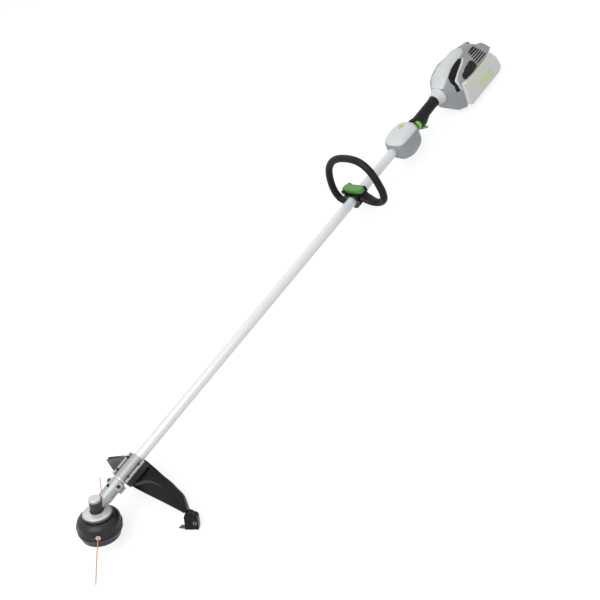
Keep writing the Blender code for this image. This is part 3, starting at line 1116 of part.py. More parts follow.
def make_battery(tool):
    """The battery pack that slides into the bay: case, cells and the lid with the rail's slot."""
    start = BATTERY_START
    end = BATTERY_END
    w = BATTERY_HALF_WIDTH
    top = BAY_CEILING - BATTERY_GAP
    parting = top - BATTERY_LID_EDGE
    section, side = battery_outlines()
    wall = 0.0030
    case = extruded("battery_case", rounded(section), start, end, tool, "battery plastic", facing="X")
    case_side = extruded("battery_case_side", rounded(side), -0.1, 0.1, tool)
    case_keep = box("battery_case_keep", (start - 0.01, -0.1, -0.1), (end + 0.01, 0.1, parting - SEAT_GAP / 2),
                    tool)
    boolean(case, [case_side, case_keep], "INTERSECT")
    room = extruded("battery_room", rounded(inset(section, wall)), start + wall, end - wall, tool, facing="X")
    room_side = extruded("battery_room_side", rounded(inset(side, wall)), -0.1, 0.1, tool)
    boolean(room, [room_side], "INTERSECT")
    mouth = box("battery_mouth", (start + wall, -w + 0.0060, parting - 0.020), (end - 0.0360, w - 0.0060, 0.05),
                tool)
    port = box("battery_port", (start - 0.01, -0.0235, -0.0455), (start + 0.0115, 0.0235, -0.0105), tool)
    boolean(case, [room, mouth, port])
    lid = extruded("battery_lid", rounded(section), start, end, tool, "dark grey plastic", facing="X")
    lid_side = extruded("battery_lid_side", rounded(side), -0.1, 0.1, tool)
    lid_keep = box("battery_lid_keep", (start - 0.01, -0.1, parting + SEAT_GAP / 2), (end + 0.01, 0.1, 0.1), tool)
    boolean(lid, [lid_side, lid_keep], "INTERSECT")
    flange = RAIL_FLANGE + RUNNING_GAP
    stem = RAIL_STEM + RUNNING_GAP
    roof = BAY_CEILING - RAIL_DROP + RUNNING_GAP
    floor = BAY_CEILING - RAIL_DROP - RAIL_THICKNESS - RUNNING_GAP
    slot_end = start + POWER_HEAD_LENGTH - FRONT_BLOCK_LENGTH - 0.050
    trough = box("battery_trough", (start + wall + 0.001, -flange - wall, floor - wall),
                 (slot_end + wall, flange + wall, parting + 0.002), tool)
    boolean(lid, [trough], "UNION")
    cuts = [
        box("battery_stem_slot", (start - 0.01, -stem, floor), (slot_end, stem, top + 0.01), tool),
        box("battery_flange_slot", (start - 0.01, -flange, floor), (slot_end, flange, roof), tool),
        box("battery_notch", (start + POWER_HEAD_LENGTH - FRONT_BLOCK_LENGTH - 0.0470, -LATCH_HALF_WIDTH - 0.001,
                              top - LATCH_NOTCH),
            (start + POWER_HEAD_LENGTH - FRONT_BLOCK_LENGTH - 0.0370, LATCH_HALF_WIDTH + 0.001, top + 0.01), tool),
    ]
    boolean(lid, cuts)
    entry = box("battery_entry", (start - 0.01, -flange - wall - 0.0005, floor - wall - 0.0005),
                (start + wall + 0.002, flange + wall + 0.0005, parting + 0.01), tool)
    boolean(case, [entry])
    room = wall + CELL_GAP
    cells = extruded("cell_pack", rounded(inset(section, room)), start, end, tool, "green plastic", facing="X")
    cells_side = extruded("cell_pack_side", rounded(inset(side, room)), -0.1, 0.1, tool)
    cells_keep = box("cell_pack_keep", (start + 0.0130, -0.1, -0.1), (end - 0.0400, 0.1, floor - room), tool)
    boolean(cells, [cells_side, cells_keep], "INTERSECT")


def rest_frame():
    """The rotation that stands the tool on the guard's cutter block, its far corner and the battery's edge."""
    lean = math.pi / 2 - GEARBOX_ANGLE

    def from_head(back, y, height):
        """A place in the head's frame as the tool's frame gives it."""
        return Vector((back * math.cos(lean) + height * math.sin(lean), y,
                       -back * math.sin(lean) + height * math.cos(lean)))

    far = GUARD_BLOCK_REACH + 0.016
    azimuth = GUARD_BLOCK_AZIMUTH
    block = from_head(far * math.cos(azimuth) - 0.010 * math.sin(azimuth),
                      far * math.sin(azimuth) + 0.010 * math.cos(azimuth), GUARD_BLOCK_BOTTOM)
    skirt = from_head(guard_row(1.0)[-1][0], GUARD_HALF_SPAN, GUARD_SKIRT_BOTTOM)
    battery = Vector((BATTERY_END - 0.026, BATTERY_HALF_WIDTH - 0.016, BATTERY_BOTTOM))
    up = (battery - block).cross(skirt - block).normalized()
    if up.z < 0.0:
        up = -up
    along = (Vector((1.0, 0.0, 0.0)) - up * up.x).normalized()
    return Matrix((along, up.cross(along), up)).to_euler()


def settle(tool):
    """Move the tool so that its box stands centred over the origin with its lowest point on the ground.

    The two loose ends of trimmer line don't count.
    """
    bpy.context.view_layer.update()
    graph = bpy.context.evaluated_depsgraph_get()
    low = Vector((1e9, 1e9, 1e9))
    high = -low
    for piece in bpy.data.collections[COLLECTION].objects:
        if piece.type != "MESH" or piece.name.startswith("trimmer_line"):
            continue
        shape = piece.evaluated_get(graph)
        mesh = shape.to_mesh()
        for vertex in mesh.vertices:
            place = shape.matrix_world @ vertex.co
            for axis in range(3):
                low[axis] = min(low[axis], place[axis])
                high[axis] = max(high[axis], place[axis])
        shape.to_mesh_clear()
    tool.location.x -= (low.x + high.x) / 2
    tool.location.y -= (low.y + high.y) / 2
    tool.location.z -= low.z
    bpy.context.view_layer.update()


def main():
    """Build every piece."""
    clear_scene()
    make_collection(COLLECTION)
    make_collection(CUTTERS)
    tool = add_empty("tool_frame", None, (0.0, 0.0, 0.0), rest_frame())
    head = add_empty("head_frame", tool, (0.0, 0.0, 0.0), (0.0, math.pi / 2 - GEARBOX_ANGLE, 0.0))
    make_shaft(tool)
    make_gearbox(tool, head)
    make_cutting_head(head)
    make_guard(tool, head)
    make_loop_handle(tool)
    make_front_housing(tool)
    make_grip(tool)
    make_collar(tool)
    make_power_head(tool)
    make_motor(tool)
    make_battery(tool)
    settle(tool)


main()
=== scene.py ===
import json
import math

import bmesh
import bpy
import numpy as np
from mathutils import Matrix, Vector


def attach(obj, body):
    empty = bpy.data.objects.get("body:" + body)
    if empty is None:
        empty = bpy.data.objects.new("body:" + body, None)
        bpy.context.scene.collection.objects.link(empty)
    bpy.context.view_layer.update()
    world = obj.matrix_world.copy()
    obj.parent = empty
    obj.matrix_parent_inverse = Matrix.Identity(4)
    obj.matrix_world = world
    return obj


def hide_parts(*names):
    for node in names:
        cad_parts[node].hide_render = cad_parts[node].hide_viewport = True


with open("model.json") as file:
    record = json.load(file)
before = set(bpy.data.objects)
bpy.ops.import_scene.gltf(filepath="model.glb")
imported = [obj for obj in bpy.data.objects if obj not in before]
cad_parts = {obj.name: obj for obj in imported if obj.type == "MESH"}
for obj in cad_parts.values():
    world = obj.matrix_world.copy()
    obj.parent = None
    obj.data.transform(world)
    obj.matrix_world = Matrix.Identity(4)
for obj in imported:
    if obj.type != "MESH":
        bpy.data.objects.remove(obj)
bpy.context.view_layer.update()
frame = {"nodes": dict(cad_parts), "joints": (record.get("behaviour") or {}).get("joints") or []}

bl_info = {
    "name": "Cordless Brush Cutter",
    "version": (1, 0, 0),
    "blender": (4, 5, 0),
    "location": "View3D > Sidebar > Brush Cutter",
    "description": "Dresses the packed brush cutter: smooth shells, metalwork, finishes, camera and studio",
    "category": "Object",
}

SLOTS = {name: node.data.materials[0].name for name, node in frame["nodes"].items()}
MM = 0.001

# Lengths in metres; the tool's frame is at the cutting head's axis
TUBE_RADIUS = 0.013
SEAT_GAP = 0.0003

# Cutting head
HEAD_LEAN = math.radians(28.0)
HEAD_RADIUS = 0.0518
LINE_HEIGHT = -0.043
LINE_LENGTH = 0.134
LINE_BEND = 0.008
LINE_AZIMUTH = math.radians(54.0)
EYELETS = (("front", LINE_AZIMUTH + math.pi), ("rear", LINE_AZIMUTH))

# Guard
GUARD_HALF_SPAN = 0.158
GUARD_FRONT = 0.084
GUARD_WALL = 0.003
SKIRT_BOTTOM = -0.0284
BLOCK_AZIMUTH = math.radians(-48.0)
CLAMP_LOW = 0.083
CLAMP_HIGH = 0.147
CLAMP_UNDER = -0.017

# Loop handle
HANDLE_PLACE = 1.039
HANDLE_ROLL = math.radians(-8.0)
BAR_RADIUS = 0.0099
BAR_ROOT = (0.0160, 0.0056)

# Rear: front housing, grip, collar, power head and battery
FRONT_START = 1.2125
FRONT_LENGTH = 0.099
# The parting's height is set where the lit top facet meets the shaded sides: the upper shell's light grey is
# painted light and the lower shell's mid grey painted shade
FRONT_PARTING = 0.020
HOUSING_WALL = 0.0028
REAR_OFFSET = 0.0045
COLLAR_START = 1.4211
POWER_START = 1.4474
BATTERY_START = 1.4914
BATTERY_HALF = 0.060
LOCK_FRONT = 1.3154
LOCK_RADIUS = 0.0158
SIDES = (("left", -1.0), ("right", 1.0))


def unit(direction):
    """The direction at length one."""
    direction = np.asarray(direction, dtype=float)
    return direction / np.linalg.norm(direction)


def turn(axis, angle):
    """A 4x4 rotation about a frame's own axis."""
    return np.array(Matrix.Rotation(angle, 4, axis))


def shift(x, y, z):
    """A 4x4 move."""
    return np.array(Matrix.Translation((x, y, z)))


def tool_frame():
    """The tool's frame: x along the shaft from the head's axis, y to the operator's right, z up."""
    joints = {joint["name"]: joint for joint in frame["joints"]}
    x = unit(joints["drive_spin"]["axis"])
    y = unit(np.cross(joints["head_spin"]["axis"], x))
    place = np.eye(4)
    place[:3] = np.column_stack([x, y, np.cross(x, y), joints["head_spin"]["pos_m"]])
    return place


TOOL = tool_frame()
HEAD = TOOL @ turn("Y", HEAD_LEAN)
HANDLE = TOOL @ shift(HANDLE_PLACE, 0.0, 0.0) @ turn("X", HANDLE_ROLL)
CAMERA_IN_TOOL = np.array([[0.595116, 0.728142, -0.340066, -0.068022],
                           [-0.700098, 0.261966, -0.664256, -1.550874],
                           [-0.394587, 0.633390, 0.665671, 1.470362],
                           [0.0, 0.0, 0.0, 1.0]])
CAMERA_LENS = 53.4
CAMERA_SENSOR = 36.0


def srgb(red, green, blue):
    """A colour given as three screen values from 0 to 255, in the linear values that shaders use."""
    screen = np.array([red, green, blue]) / 255.0
    linear = np.where(screen <= 0.04045, screen / 12.92, ((screen + 0.055) / 1.055) ** 2.4)
    return (*linear.tolist(), 1.0)


WHITE = (1.0, 1.0, 1.0, 1.0)
DUST = srgb(196, 190, 178)


# Shader nodes

def add(tree, kind, inputs=None, **settings):
    """A node with its settings; an input is a value or another node's output."""
    node = tree.nodes.new(kind)
    for label, value in settings.items():
        setattr(node, label, value)
    for label, value in (inputs or {}).items():
        if isinstance(value, bpy.types.NodeSocket):
            tree.links.new(value, node.inputs[label])
        else:
            node.inputs[label].default_value = value
    return node


def calc(tree, operation, *values, clamp=False):
    """The result of a sum on values or outputs."""
    return add(tree, "ShaderNodeMath", dict(enumerate(values)), operation=operation, use_clamp=clamp).outputs[0]


def noise(tree, vector, scale, **inputs):
    """A noise texture's value."""
    return add(tree, "ShaderNodeTexNoise", {"Vector": vector, "Scale": scale, **inputs}).outputs["Fac"]


def ranged(tree, value, low, high):
    """A value's place from 0 at low to 1 at high."""
    return add(tree, "ShaderNodeMapRange", {"Value": value, "From Min": low, "From Max": high}).outputs["Result"]


def mixed(tree, factor, first, second):
    """The mix of two colours, whose sockets are the sixth and seventh."""
    return add(tree, "ShaderNodeMix", {"Factor": factor, 6: first, 7: second}, data_type="RGBA").outputs[2]


def about_axis(tree, vector):
    """The distance from the frame's z axis, and the height along it."""
    split = add(tree, "ShaderNodeSeparateXYZ", {"Vector": vector}).outputs
    flat = add(tree, "ShaderNodeCombineXYZ", {"X": split["X"], "Y": split["Y"]})
    reach = add(tree, "ShaderNodeVectorMath", {0: flat.outputs["Vector"]}, operation="LENGTH")
    return reach.outputs["Value"], split["Z"]


# Node groups: effects that several finishes share

def new_group(name, **inputs):
    """A shader node group that takes a vector, numbers and a colour, and its inner inputs."""
    group = bpy.data.node_groups.new(name, "ShaderNodeTree")
    group.interface.new_socket("Vector", in_out="INPUT", socket_type="NodeSocketVector")
    for label, value in inputs.items():
        kind = "NodeSocketFloat" if isinstance(value, float) else "NodeSocketColor"
        group.interface.new_socket(label, in_out="INPUT", socket_type=kind).default_value = value
    return group, group.nodes.new("NodeGroupInput").outputs


def closed_group(group, label, result, kind="NodeSocketFloat"):
    """The group with its one output."""
    group.interface.new_socket(label, in_out="OUTPUT", socket_type=kind)
    group.links.new(result, group.nodes.new("NodeGroupOutput").inputs[label])
    return group


def grain_group():
    """Moulded Grain: a fine pebbled height, from noise and cells of about the same size."""
    group, given = new_group("Moulded Grain", Scale=900.0, Softness=0.5)
    cells = add(group, "ShaderNodeTexVoronoi", {"Vector": given["Vector"], "Scale": given["Scale"]},
                feature="SMOOTH_F1")
    pebbles = noise(group, given["Vector"], given["Scale"], Detail=3.0, Roughness=0.6)
    both = add(group, "ShaderNodeMix", {"Factor": given["Softness"], "A": cells.outputs["Distance"],
                                        "B": pebbles}, data_type="FLOAT")
    return closed_group(group, "Height", both.outputs["Result"])


def drift_group():
    """Surface Drift: a colour that grows slowly lighter and darker over the surface."""
    group, given = new_group("Surface Drift", Colour=(0.5, 0.5, 0.5, 1.0), Scale=14.0, Amount=0.08)
    centred = calc(group, "SUBTRACT", noise(group, given["Vector"], given["Scale"], Detail=2.0), 0.5)
    level = calc(group, "MULTIPLY_ADD", calc(group, "MULTIPLY", centred, given["Amount"]), 2.0, 1.0)
    scaled = add(group, "ShaderNodeVectorMath", {0: given["Colour"], "Scale": level}, operation="SCALE")
    return closed_group(group, "Colour", scaled.outputs["Vector"], "NodeSocketColor")


def marks_group():
    """Handling Marks: short fine scratches and rubbed patches, as a mask."""
    group, given = new_group("Handling Marks", Scale=60.0, Coverage=0.3)
    stretched = add(group, "ShaderNodeVectorMath", {0: given["Vector"], 1: (1.0, 9.0, 5.0)}, operation="MULTIPLY")
    lines = noise(group, stretched.outputs["Vector"], given["Scale"], Detail=2.0, Distortion=0.6)
    patches = noise(group, given["Vector"], 22.0, Detail=3.0)
    joined = calc(group, "MULTIPLY", ranged(group, lines, 0.60, 0.72), ranged(group, patches, 0.48, 0.70))
    return closed_group(group, "Mask", calc(group, "MULTIPLY", joined, given["Coverage"], clamp=True))


def dust_group():
    """Settled Dust: a thin uneven film where the surface faces up, as a mask."""
    group, given = new_group("Settled Dust", Amount=0.1)
    normal = add(group, "ShaderNodeNewGeometry").outputs["Normal"]
    upward = add(group, "ShaderNodeSeparateXYZ", {"Vector": normal}).outputs["Z"]
    film = noise(group, given["Vector"], 45.0, Detail=5.0)
    film = calc(group, "MULTIPLY", ranged(group, upward, 0.15, 1.0), film)
    return closed_group(group, "Mask", calc(group, "MULTIPLY", film, given["Amount"], clamp=True))


def turned_group():
    """Turned Metal: fine rings about an axis, as a height from the distance to it and the place along it."""
    group, given = new_group("Turned Metal", Scale=700.0)
    reach, along = about_axis(group, given["Vector"])
    rings = add(group, "ShaderNodeCombineXYZ", {"X": reach, "Z": along})
    return closed_group(group, "Height", noise(group, rings.outputs["Vector"], given["Scale"], Detail=2.0))


GROUPS = {}


def make_groups():
    """Build each shared effect once."""
    GROUPS.update(grain=grain_group(), drift=drift_group(), marks=marks_group(), dust=dust_group(),
                  turned=turned_group())


def use(tree, name, **inputs):
    """The result of a shared effect placed in a material with its own values."""
    return add(tree, "ShaderNodeGroup", inputs, node_tree=GROUPS[name]).outputs[0]


def coordinates(tree, place=None, scale=(1.0, 1.0, 1.0)):
    """Object coordinates, or those of a frame of the tool where one is given."""
    source = add(tree, "ShaderNodeTexCoord").outputs["Object"]
    if place is None:
        return source
    matrix = Matrix(place.tolist())
    return add(tree, "ShaderNodeMapping", {"Vector": source, "Location": matrix.to_translation(),
                                           "Rotation": matrix.to_euler(), "Scale": scale},
               vector_type="TEXTURE").outputs["Vector"]


# Finishes

def new_material(name, roughness, metallic=0.0, coat=0.0, specular=0.5):
    """A material with a principled shader: the material, its node tree and the shader's inputs."""
    material = bpy.data.materials.new(name)
    material.use_nodes = True
    sockets = material.node_tree.nodes["Principled BSDF"].inputs
    for label, value in (("Roughness", roughness), ("Metallic", metallic), ("Coat Weight", coat),
                         ("Coat Roughness", 0.25), ("Specular IOR Level", specular)):
        sockets[label].default_value = value
    return material, material.node_tree, sockets


def connect(tree, sockets, colour, height, strength, depth, rough=None):
    """Link a material's colour, its height as bump, and its roughness where one is given."""
    bump = add(tree, "ShaderNodeBump", {"Height": height, "Strength": strength, "Distance": depth})
    tree.links.new(colour, sockets["Base Color"])
    tree.links.new(bump.outputs["Normal"], sockets["Normal"])
    if rough is not None:
        tree.links.new(rough, sockets["Roughness"])


def finish(name, colour, roughness, grain=1000.0, depth=0.00006, worn=None, coverage=0.5, dust=0.05, drift=0.06,
           metallic=0.0, coat=0.0, specular=0.5, rings=None, dark_below=None):
    """A moulded or cast finish: drifting colour, rubbed marks, dust, and grain or turning rings as bump.

    With dark_below (colour, low, high, reach) the colour covers what is under the heights from low to high
    of the head's axis and within reach of it.
    """
    material, tree, sockets = new_material(name, roughness, metallic, coat, specular)
    place = coordinates(tree)
    colour = tuple(colour)
    base = use(tree, "drift", Vector=place, Colour=colour, Amount=drift)
    if dark_below is not None:
        dark, low, high, reach = dark_below
        out, along = about_axis(tree, coordinates(tree, HEAD))
        mask = calc(tree, "MULTIPLY", ranged(tree, along, high, low), ranged(tree, out, reach + 0.0006, reach))
        base = mixed(tree, mask, base, dark)
    marks = use(tree, "marks", Vector=place, Coverage=coverage)
    if worn is None:
        worn = tuple(min(1.0, 0.75 * value + 0.22) for value in colour[:3]) + (1.0,)
    rubbed = mixed(tree, marks, base, worn)
    dusty = mixed(tree, use(tree, "dust", Vector=place, Amount=dust), rubbed, DUST)
    if rings is None:
        height = use(tree, "grain", Vector=place, Scale=grain)
    else:
        height = use(tree, "turned", Vector=coordinates(tree, rings), Scale=grain)
    connect(tree, sockets, dusty, height, 0.6, depth, calc(tree, "MULTIPLY_ADD", marks, 0.25, roughness))
    return material


def drawn_finish(name, colour, roughness, place, metallic):
    """A drawn metal: fine lines along the frame's x axis, in height and tone."""
    material, tree, sockets = new_material(name, roughness, metallic)
    lines = noise(tree, coordinates(tree, place, (0.25, 0.0022, 0.0022)), 3.0, Detail=4.0)
    plain = coordinates(tree)
    base = use(tree, "drift", Vector=plain, Colour=tuple(colour), Scale=9.0, Amount=0.03)
    rubbed = mixed(tree, use(tree, "marks", Vector=plain, Scale=40.0, Coverage=0.35), base, srgb(168, 170, 172))
    connect(tree, sockets, rubbed, lines, 0.5, 0.00004, calc(tree, "MULTIPLY_ADD", lines, 0.12, roughness - 0.06))
    return material


def wound_finish(name, colour, place):
    """Lacquered copper windings: close-packed turns along the frame's x axis."""
    material, tree, sockets = new_material(name, 0.32, 0.85, coat=0.4)
    waves = add(tree, "ShaderNodeTexWave", {"Vector": coordinates(tree, place), "Scale": 160.0,
                                            "Distortion": 0.4}, bands_direction="X")
    base = use(tree, "drift", Vector=coordinates(tree), Colour=colour, Scale=60.0, Amount=0.2)
    connect(tree, sockets, base, waves.outputs["Fac"], 0.8, 0.0003)
    return material


def board_finish(name, colour, place):
    """A circuit board: lacquer with a net of lighter tracks."""
    material, tree, sockets = new_material(name, 0.35, coat=0.5)
    tracks = add(tree, "ShaderNodeTexBrick", {"Vector": coordinates(tree, place), "Scale": 90.0, "Color1": colour,
                                              "Mortar Size": 0.03, "Color2": colour, "Mortar": srgb(60, 128, 76)})
    connect(tree, sockets, tracks.outputs["Color"], tracks.outputs["Fac"], 0.4, 0.0001)
    return material


FINISHES = {}


def make_finishes(colours):
    """One finish for each of the record's material slots, and a few more for the trim."""
    FINISHES.update({
        "black_plastic": finish("black plastic", colours.black_plastic, 0.30, 1100.0, 0.00003, srgb(52, 52, 54),
                                0.30, dust=0.012, drift=0.20, specular=0.18),
        "black_rubber": finish("black rubber", colours.rubber, 0.50, 1500.0, 0.00010, srgb(46, 46, 47), 0.3,
                               dust=0.015, drift=0.2, specular=0.22),
        "light_grey_plastic": finish("light grey plastic", colours.light_grey, 0.42),
        "grey_plastic": finish("grey plastic", colours.grey, 0.46, dust=0.06),
        "dark_grey_plastic": finish("dark grey plastic", srgb(70, 71, 74), 0.48),
        "green_plastic": finish("green plastic", colours.green, 0.36, 1200.0, dust=0.02),
        "bright_green_plastic": finish("bright green plastic", colours.bright_green, 0.36, 1200.0, dust=0.02),
        "battery_plastic": finish("battery plastic", colours.battery, 0.44, dust=0.04),
        "cells": finish("cell wrap", srgb(58, 142, 118), 0.3, 900.0, coat=0.4),
        "white_nylon": finish("white nylon", srgb(222, 220, 212), 0.5, 700.0),
        "orange_line": finish("trimmer line", colours.line, 0.34, 2200.0, 0.00005, dust=0.0),
        "tube_aluminium": drawn_finish("anodised tube", colours.tube, 0.30, TOOL, 0.22),
        "cast_aluminium": finish("cast aluminium", srgb(166, 168, 170), 0.42, 1600.0, 0.00012,
                                 srgb(188, 190, 192), metallic=0.30),
        "dish_aluminium": finish("turned aluminium", srgb(205, 207, 209), 0.30, 900.0, 0.00008,
                                 srgb(160, 162, 164), metallic=0.30, rings=HEAD),
        "steel": finish("steel", srgb(138, 139, 141), 0.30, 1400.0, 0.00005, srgb(110, 110, 112), dust=0.0,
                        metallic=0.45),
        "copper": wound_finish("copper windings", srgb(196, 118, 72), TOOL),
        "circuit_board": board_finish("circuit board", srgb(22, 84, 50), TOOL),
        "gearbox": finish("gearbox casting", srgb(168, 170, 172), 0.40, 1600.0, 0.00012, srgb(190, 192, 194),
                          metallic=0.30, dark_below=(srgb(44, 45, 47), 0.0218, 0.0222, 0.0152)),
        "blackened_steel": finish("blackened steel", srgb(30, 30, 32), 0.36, 1400.0, worn=srgb(96, 96, 98),
                                  dust=0.0, metallic=0.15, specular=0.4),
        "lime": finish("lime trim", colours.lime, 0.36, 1200.0, dust=0.0, coat=0.2),
        "pale_green": finish("pale green trim", srgb(224, 238, 190), 0.4, 1200.0, dust=0.0),
        "trigger_green": finish("trigger green", srgb(104, 190, 74), 0.36, 1200.0, dust=0.0),
        "badge": finish("gloss black", srgb(10, 10, 11), 0.20, 400.0, 0.00001, srgb(44, 44, 46), 0.15,
                        dust=0.006, drift=0.02, specular=0.30),
        "head_plastic": finish("head plastic", srgb(30, 31, 33), 0.34, 1100.0, 0.00004, srgb(78, 78, 80),
                               dust=0.02, drift=0.2, specular=0.32),
        # Dark casting: the clamp block's own colour, and painted shade on the clamp flanges
        "dark_casting": finish("dark casting and painted shade", srgb(50, 51, 53), 0.45, 1600.0, 0.00012, srgb(120, 121, 123),
                               dust=0.02, specular=0.4),
        "cream_trim": finish("cream trim", srgb(242, 246, 216), 0.42, 1200.0, dust=0.0),
        "pale_rim": finish("pale rim", srgb(244, 245, 245), 0.42, 1200.0, dust=0.0),
    })


# Surfaces

def grid_faces(rows, columns, close_rows=False, close_columns=False):
    """Quads between neighbouring points of a grid of rows, as indices into the flattened grid."""
    i = np.arange(rows if close_rows else rows - 1)[:, None]
    j = np.arange(columns if close_columns else columns - 1)[None, :]
    after_i = (i + 1) % rows
    after_j = (j + 1) % columns
    quads = [i * columns + j, i * columns + after_j, after_i * columns + after_j, after_i * columns + j]
    return np.stack(np.broadcast_arrays(*quads), axis=-1).reshape(-1, 4)


def stacked(*parts):
    """Arrays of like or broadcast shape as the coordinates of points."""
    return np.stack(np.broadcast_arrays(*parts), axis=-1)


def shares(rows, columns, low=0.0, left=0.0):
    """Shares from low to 1 down the rows, and from left to 1 across the columns, of a grid."""
    return np.linspace(low, 1.0, rows)[:, None], np.linspace(left, 1.0, columns)[None, :]


def domed(share):
    """The height of a quarter circle over a share of its radius: sqrt(s (2 - s)), with s held from 0 to 1."""
    share = np.clip(share, 0.0, 1.0)
    return np.sqrt(share * (2.0 - share))


def smoothstep(share):
    """The share eased at both ends: s^2 (3 - 2 s), with s held from 0 to 1."""
    share = np.clip(share, 0.0, 1.0)
    return share ** 2 * (3.0 - 2.0 * share)


def run_of(line):
    """How long a line has run at each of its points."""
    return np.append(0.0, np.cumsum(np.linalg.norm(np.diff(line, axis=0), axis=1)))


def places_on(line, run, place):
    """The points of a flat line at lengths along it."""
    return stacked(np.interp(place, run, line[:, 0]), np.interp(place, run, line[:, 1]))


def in_frame(points, place):
    """Points of a frame as the model has them."""
    return points @ place[:3, :3].T + place[:3, 3]


def rewrite(mesh, change, outward=True):
    """Change a mesh as a bmesh and turn its faces outwards."""
    bm = bmesh.new()
    bm.from_mesh(mesh)
    change(bm)
    if outward:
        bmesh.ops.recalc_face_normals(bm, faces=bm.faces)
    bm.to_mesh(mesh)
    bm.free()


def merge(bm):
    """Merge a grid's doubles."""
    bmesh.ops.remove_doubles(bm, verts=bm.verts, dist=2e-6)
    bmesh.ops.dissolve_degenerate(bm, edges=bm.edges, dist=2e-6)


def join_facets(bm):
    """Merge a CAD piece's doubles and its flat neighbours."""
    bmesh.ops.remove_doubles(bm, verts=bm.verts, dist=1e-6)
    bmesh.ops.dissolve_limit(bm, angle_limit=math.radians(0.6), verts=bm.verts, edges=bm.edges)


def add_piece(name, points, faces, place=TOOL, outward=True, **looks):
    """A mesh piece from its points and faces, with its looks as dress() takes them."""
    mesh = bpy.data.meshes.new(name)
    mesh.from_pydata(in_frame(np.asarray(points).reshape(-1, 3), place).tolist(), [],
                     [list(map(int, face)) for face in faces])
    rewrite(mesh, merge, outward)
    return dress(bpy.data.objects.new(name, mesh), **looks)


def dress(piece, body="tool", slot="black_plastic", kind=None, replaced=None, sharp=34.0):
    """Give a piece its finish, smooth shading between sharp edges, its body, its slot and what it replaces."""
    bpy.context.scene.collection.objects.link(piece)
    piece.data.materials.clear()
    piece.data.materials.append(FINISHES[kind or slot])
    if piece.type == "MESH":
        piece.data.shade_smooth()
        piece.data.set_sharp_from_angle(angle=math.radians(sharp))
    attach(piece, body)
    if replaced:
        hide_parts(replaced)
    return piece


def softened(line, radius, steps=4, closed=False):
    """Rows of points along the last axis but one with each corner rounded.

    A corner P between neighbours A and B becomes the parabola from P + r(A - P)/|A - P| through
    to P + r(B - P)/|B - P|, where r is the radius or two fifths of the shorter side if that is less.
    """
    line = np.asarray(line, dtype=float)
    before = np.roll(line, 1, axis=-2) - line
    after = np.roll(line, -1, axis=-2) - line
    long_before = np.linalg.norm(before, axis=-1, keepdims=True) + 1e-12
    long_after = np.linalg.norm(after, axis=-1, keepdims=True) + 1e-12
    reach = np.minimum(radius, 0.4 * np.minimum(long_before, long_after))
    start = (line + before / long_before * reach)[..., None, :]
    stop = (line + after / long_after * reach)[..., None, :]
    t = np.linspace(0.0, 1.0, steps + 1)[:, None]
    arcs = (1 - t) ** 2 * start + 2 * t * (1 - t) * line[..., None, :] + t ** 2 * stop
    if not closed:
        arcs[..., 0, :, :] = line[..., 0:1, :]
        arcs[..., -1, :, :] = line[..., -1:, :]
    return arcs.reshape(*line.shape[:-2], -1, line.shape[-1])


def eased(x, table):
    """A smooth curve through rows (knot, values) that never overshoots them.

    Between two knots it is the cubic whose slopes at both ends are the harmonic mean of the straight
    slopes on either side of the knot, or zero where those have opposite signs.
    """
    knots = np.array(table)[:, 0]
    values = np.array(table)[:, 1:]
    step = np.diff(knots)[:, None]
    slope = np.diff(values, axis=0) / step
    product = slope[1:] * slope[:-1]
    total = slope[1:] + slope[:-1]
    inner = np.where(product > 0.0, 2.0 * product / np.where(total == 0.0, 1.0, total), 0.0)
    tangent = np.vstack([slope[:1], inner, slope[-1:]])
    k = np.clip(np.searchsorted(knots, x, side="right") - 1, 0, len(knots) - 2)
    h = step[k]
    t = (x - knots[k])[:, None] / h
    return ((2 * t ** 3 - 3 * t ** 2 + 1) * values[k] + (t ** 3 - 2 * t ** 2 + t) * h * tangent[k]
            + (3 * t ** 2 - 2 * t ** 3) * values[k + 1] + (t ** 3 - t ** 2) * h * tangent[k + 1])


def curve_through(points, steps):
    """A curve through points: on each span the cubic whose end slopes are half of the neighbours' difference."""
    knots = np.vstack([2 * points[0] - points[1], points, 2 * points[-1] - points[-2]])
    a, b, c, d = (knots[i:len(knots) - 3 + i, None, :] for i in range(4))
    t = (np.arange(steps) / steps)[None, :, None]
    spans = 0.5 * (2 * b + (c - a) * t + (2 * a - 5 * b + 4 * c - d) * t ** 2 + (3 * b - a - 3 * c + d) * t ** 3)
    return np.vstack([spans.reshape(-1, points.shape[1]), points[-1:]])


def turned(name, profile, place=HEAD, steps=96, ring=False, soft=0.0005, along_shaft=False, flutes=None, **looks):
    """A profile of (radius, height) in millimetres carried round the frame's z axis, or round its x axis.

    With flutes (count, depth, low, high) the radius between two heights is drawn in by
    depth (0.5 + 0.5 cos(count angle)) to the power of four.
    """
    line = softened(np.array(profile) * MM, soft, steps=3, closed=ring)
    angle = np.linspace(0.0, 2 * np.pi, steps, endpoint=False)
    radius, height = (line[:, column:column + 1] + 0.0 * angle for column in (0, 1))
    if flutes is not None:
        count, depth, low, high = flutes
        inside = (height > low) & (height < high) & (radius > 0.5 * radius.max())
        radius = radius - inside * depth * (0.5 + 0.5 * np.cos(count * angle)) ** 4
    around = (radius * np.cos(angle), radius * np.sin(angle))
    grid = stacked(height, *around) if along_shaft else stacked(*around, height)
    return add_piece(name, grid, grid_faces(len(line), steps, ring, True), place, **looks)


def rounded(corners, steps=5):
    """An outline whose corners (u, v, radius) in millimetres are rounded as softened() says."""
    corners = np.array(corners) * MM
    return softened(corners[:, :2], corners[:, 2:3], steps=steps, closed=True)


def prism(name, outline, low, high, place=TOOL, facing="x", bevel=0.0008, segments=2, **looks):
    """A flat outline carried from low to high along an axis of its frame, with its edges rounded."""
    count = len(outline)
    u, v = np.tile(outline, (2, 1)).T
    w = np.repeat([low, high], count)
    order = {"x": (w, u, v), "y": (u, w, v), "z": (u, v, w)}[facing]
    faces = grid_faces(2, count, close_columns=True).tolist()
    faces += [list(range(count)), list(range(2 * count - 1, count - 1, -1))]
    round_edges(add_piece(name, stacked(*order), faces, place, **looks), bevel, segments)


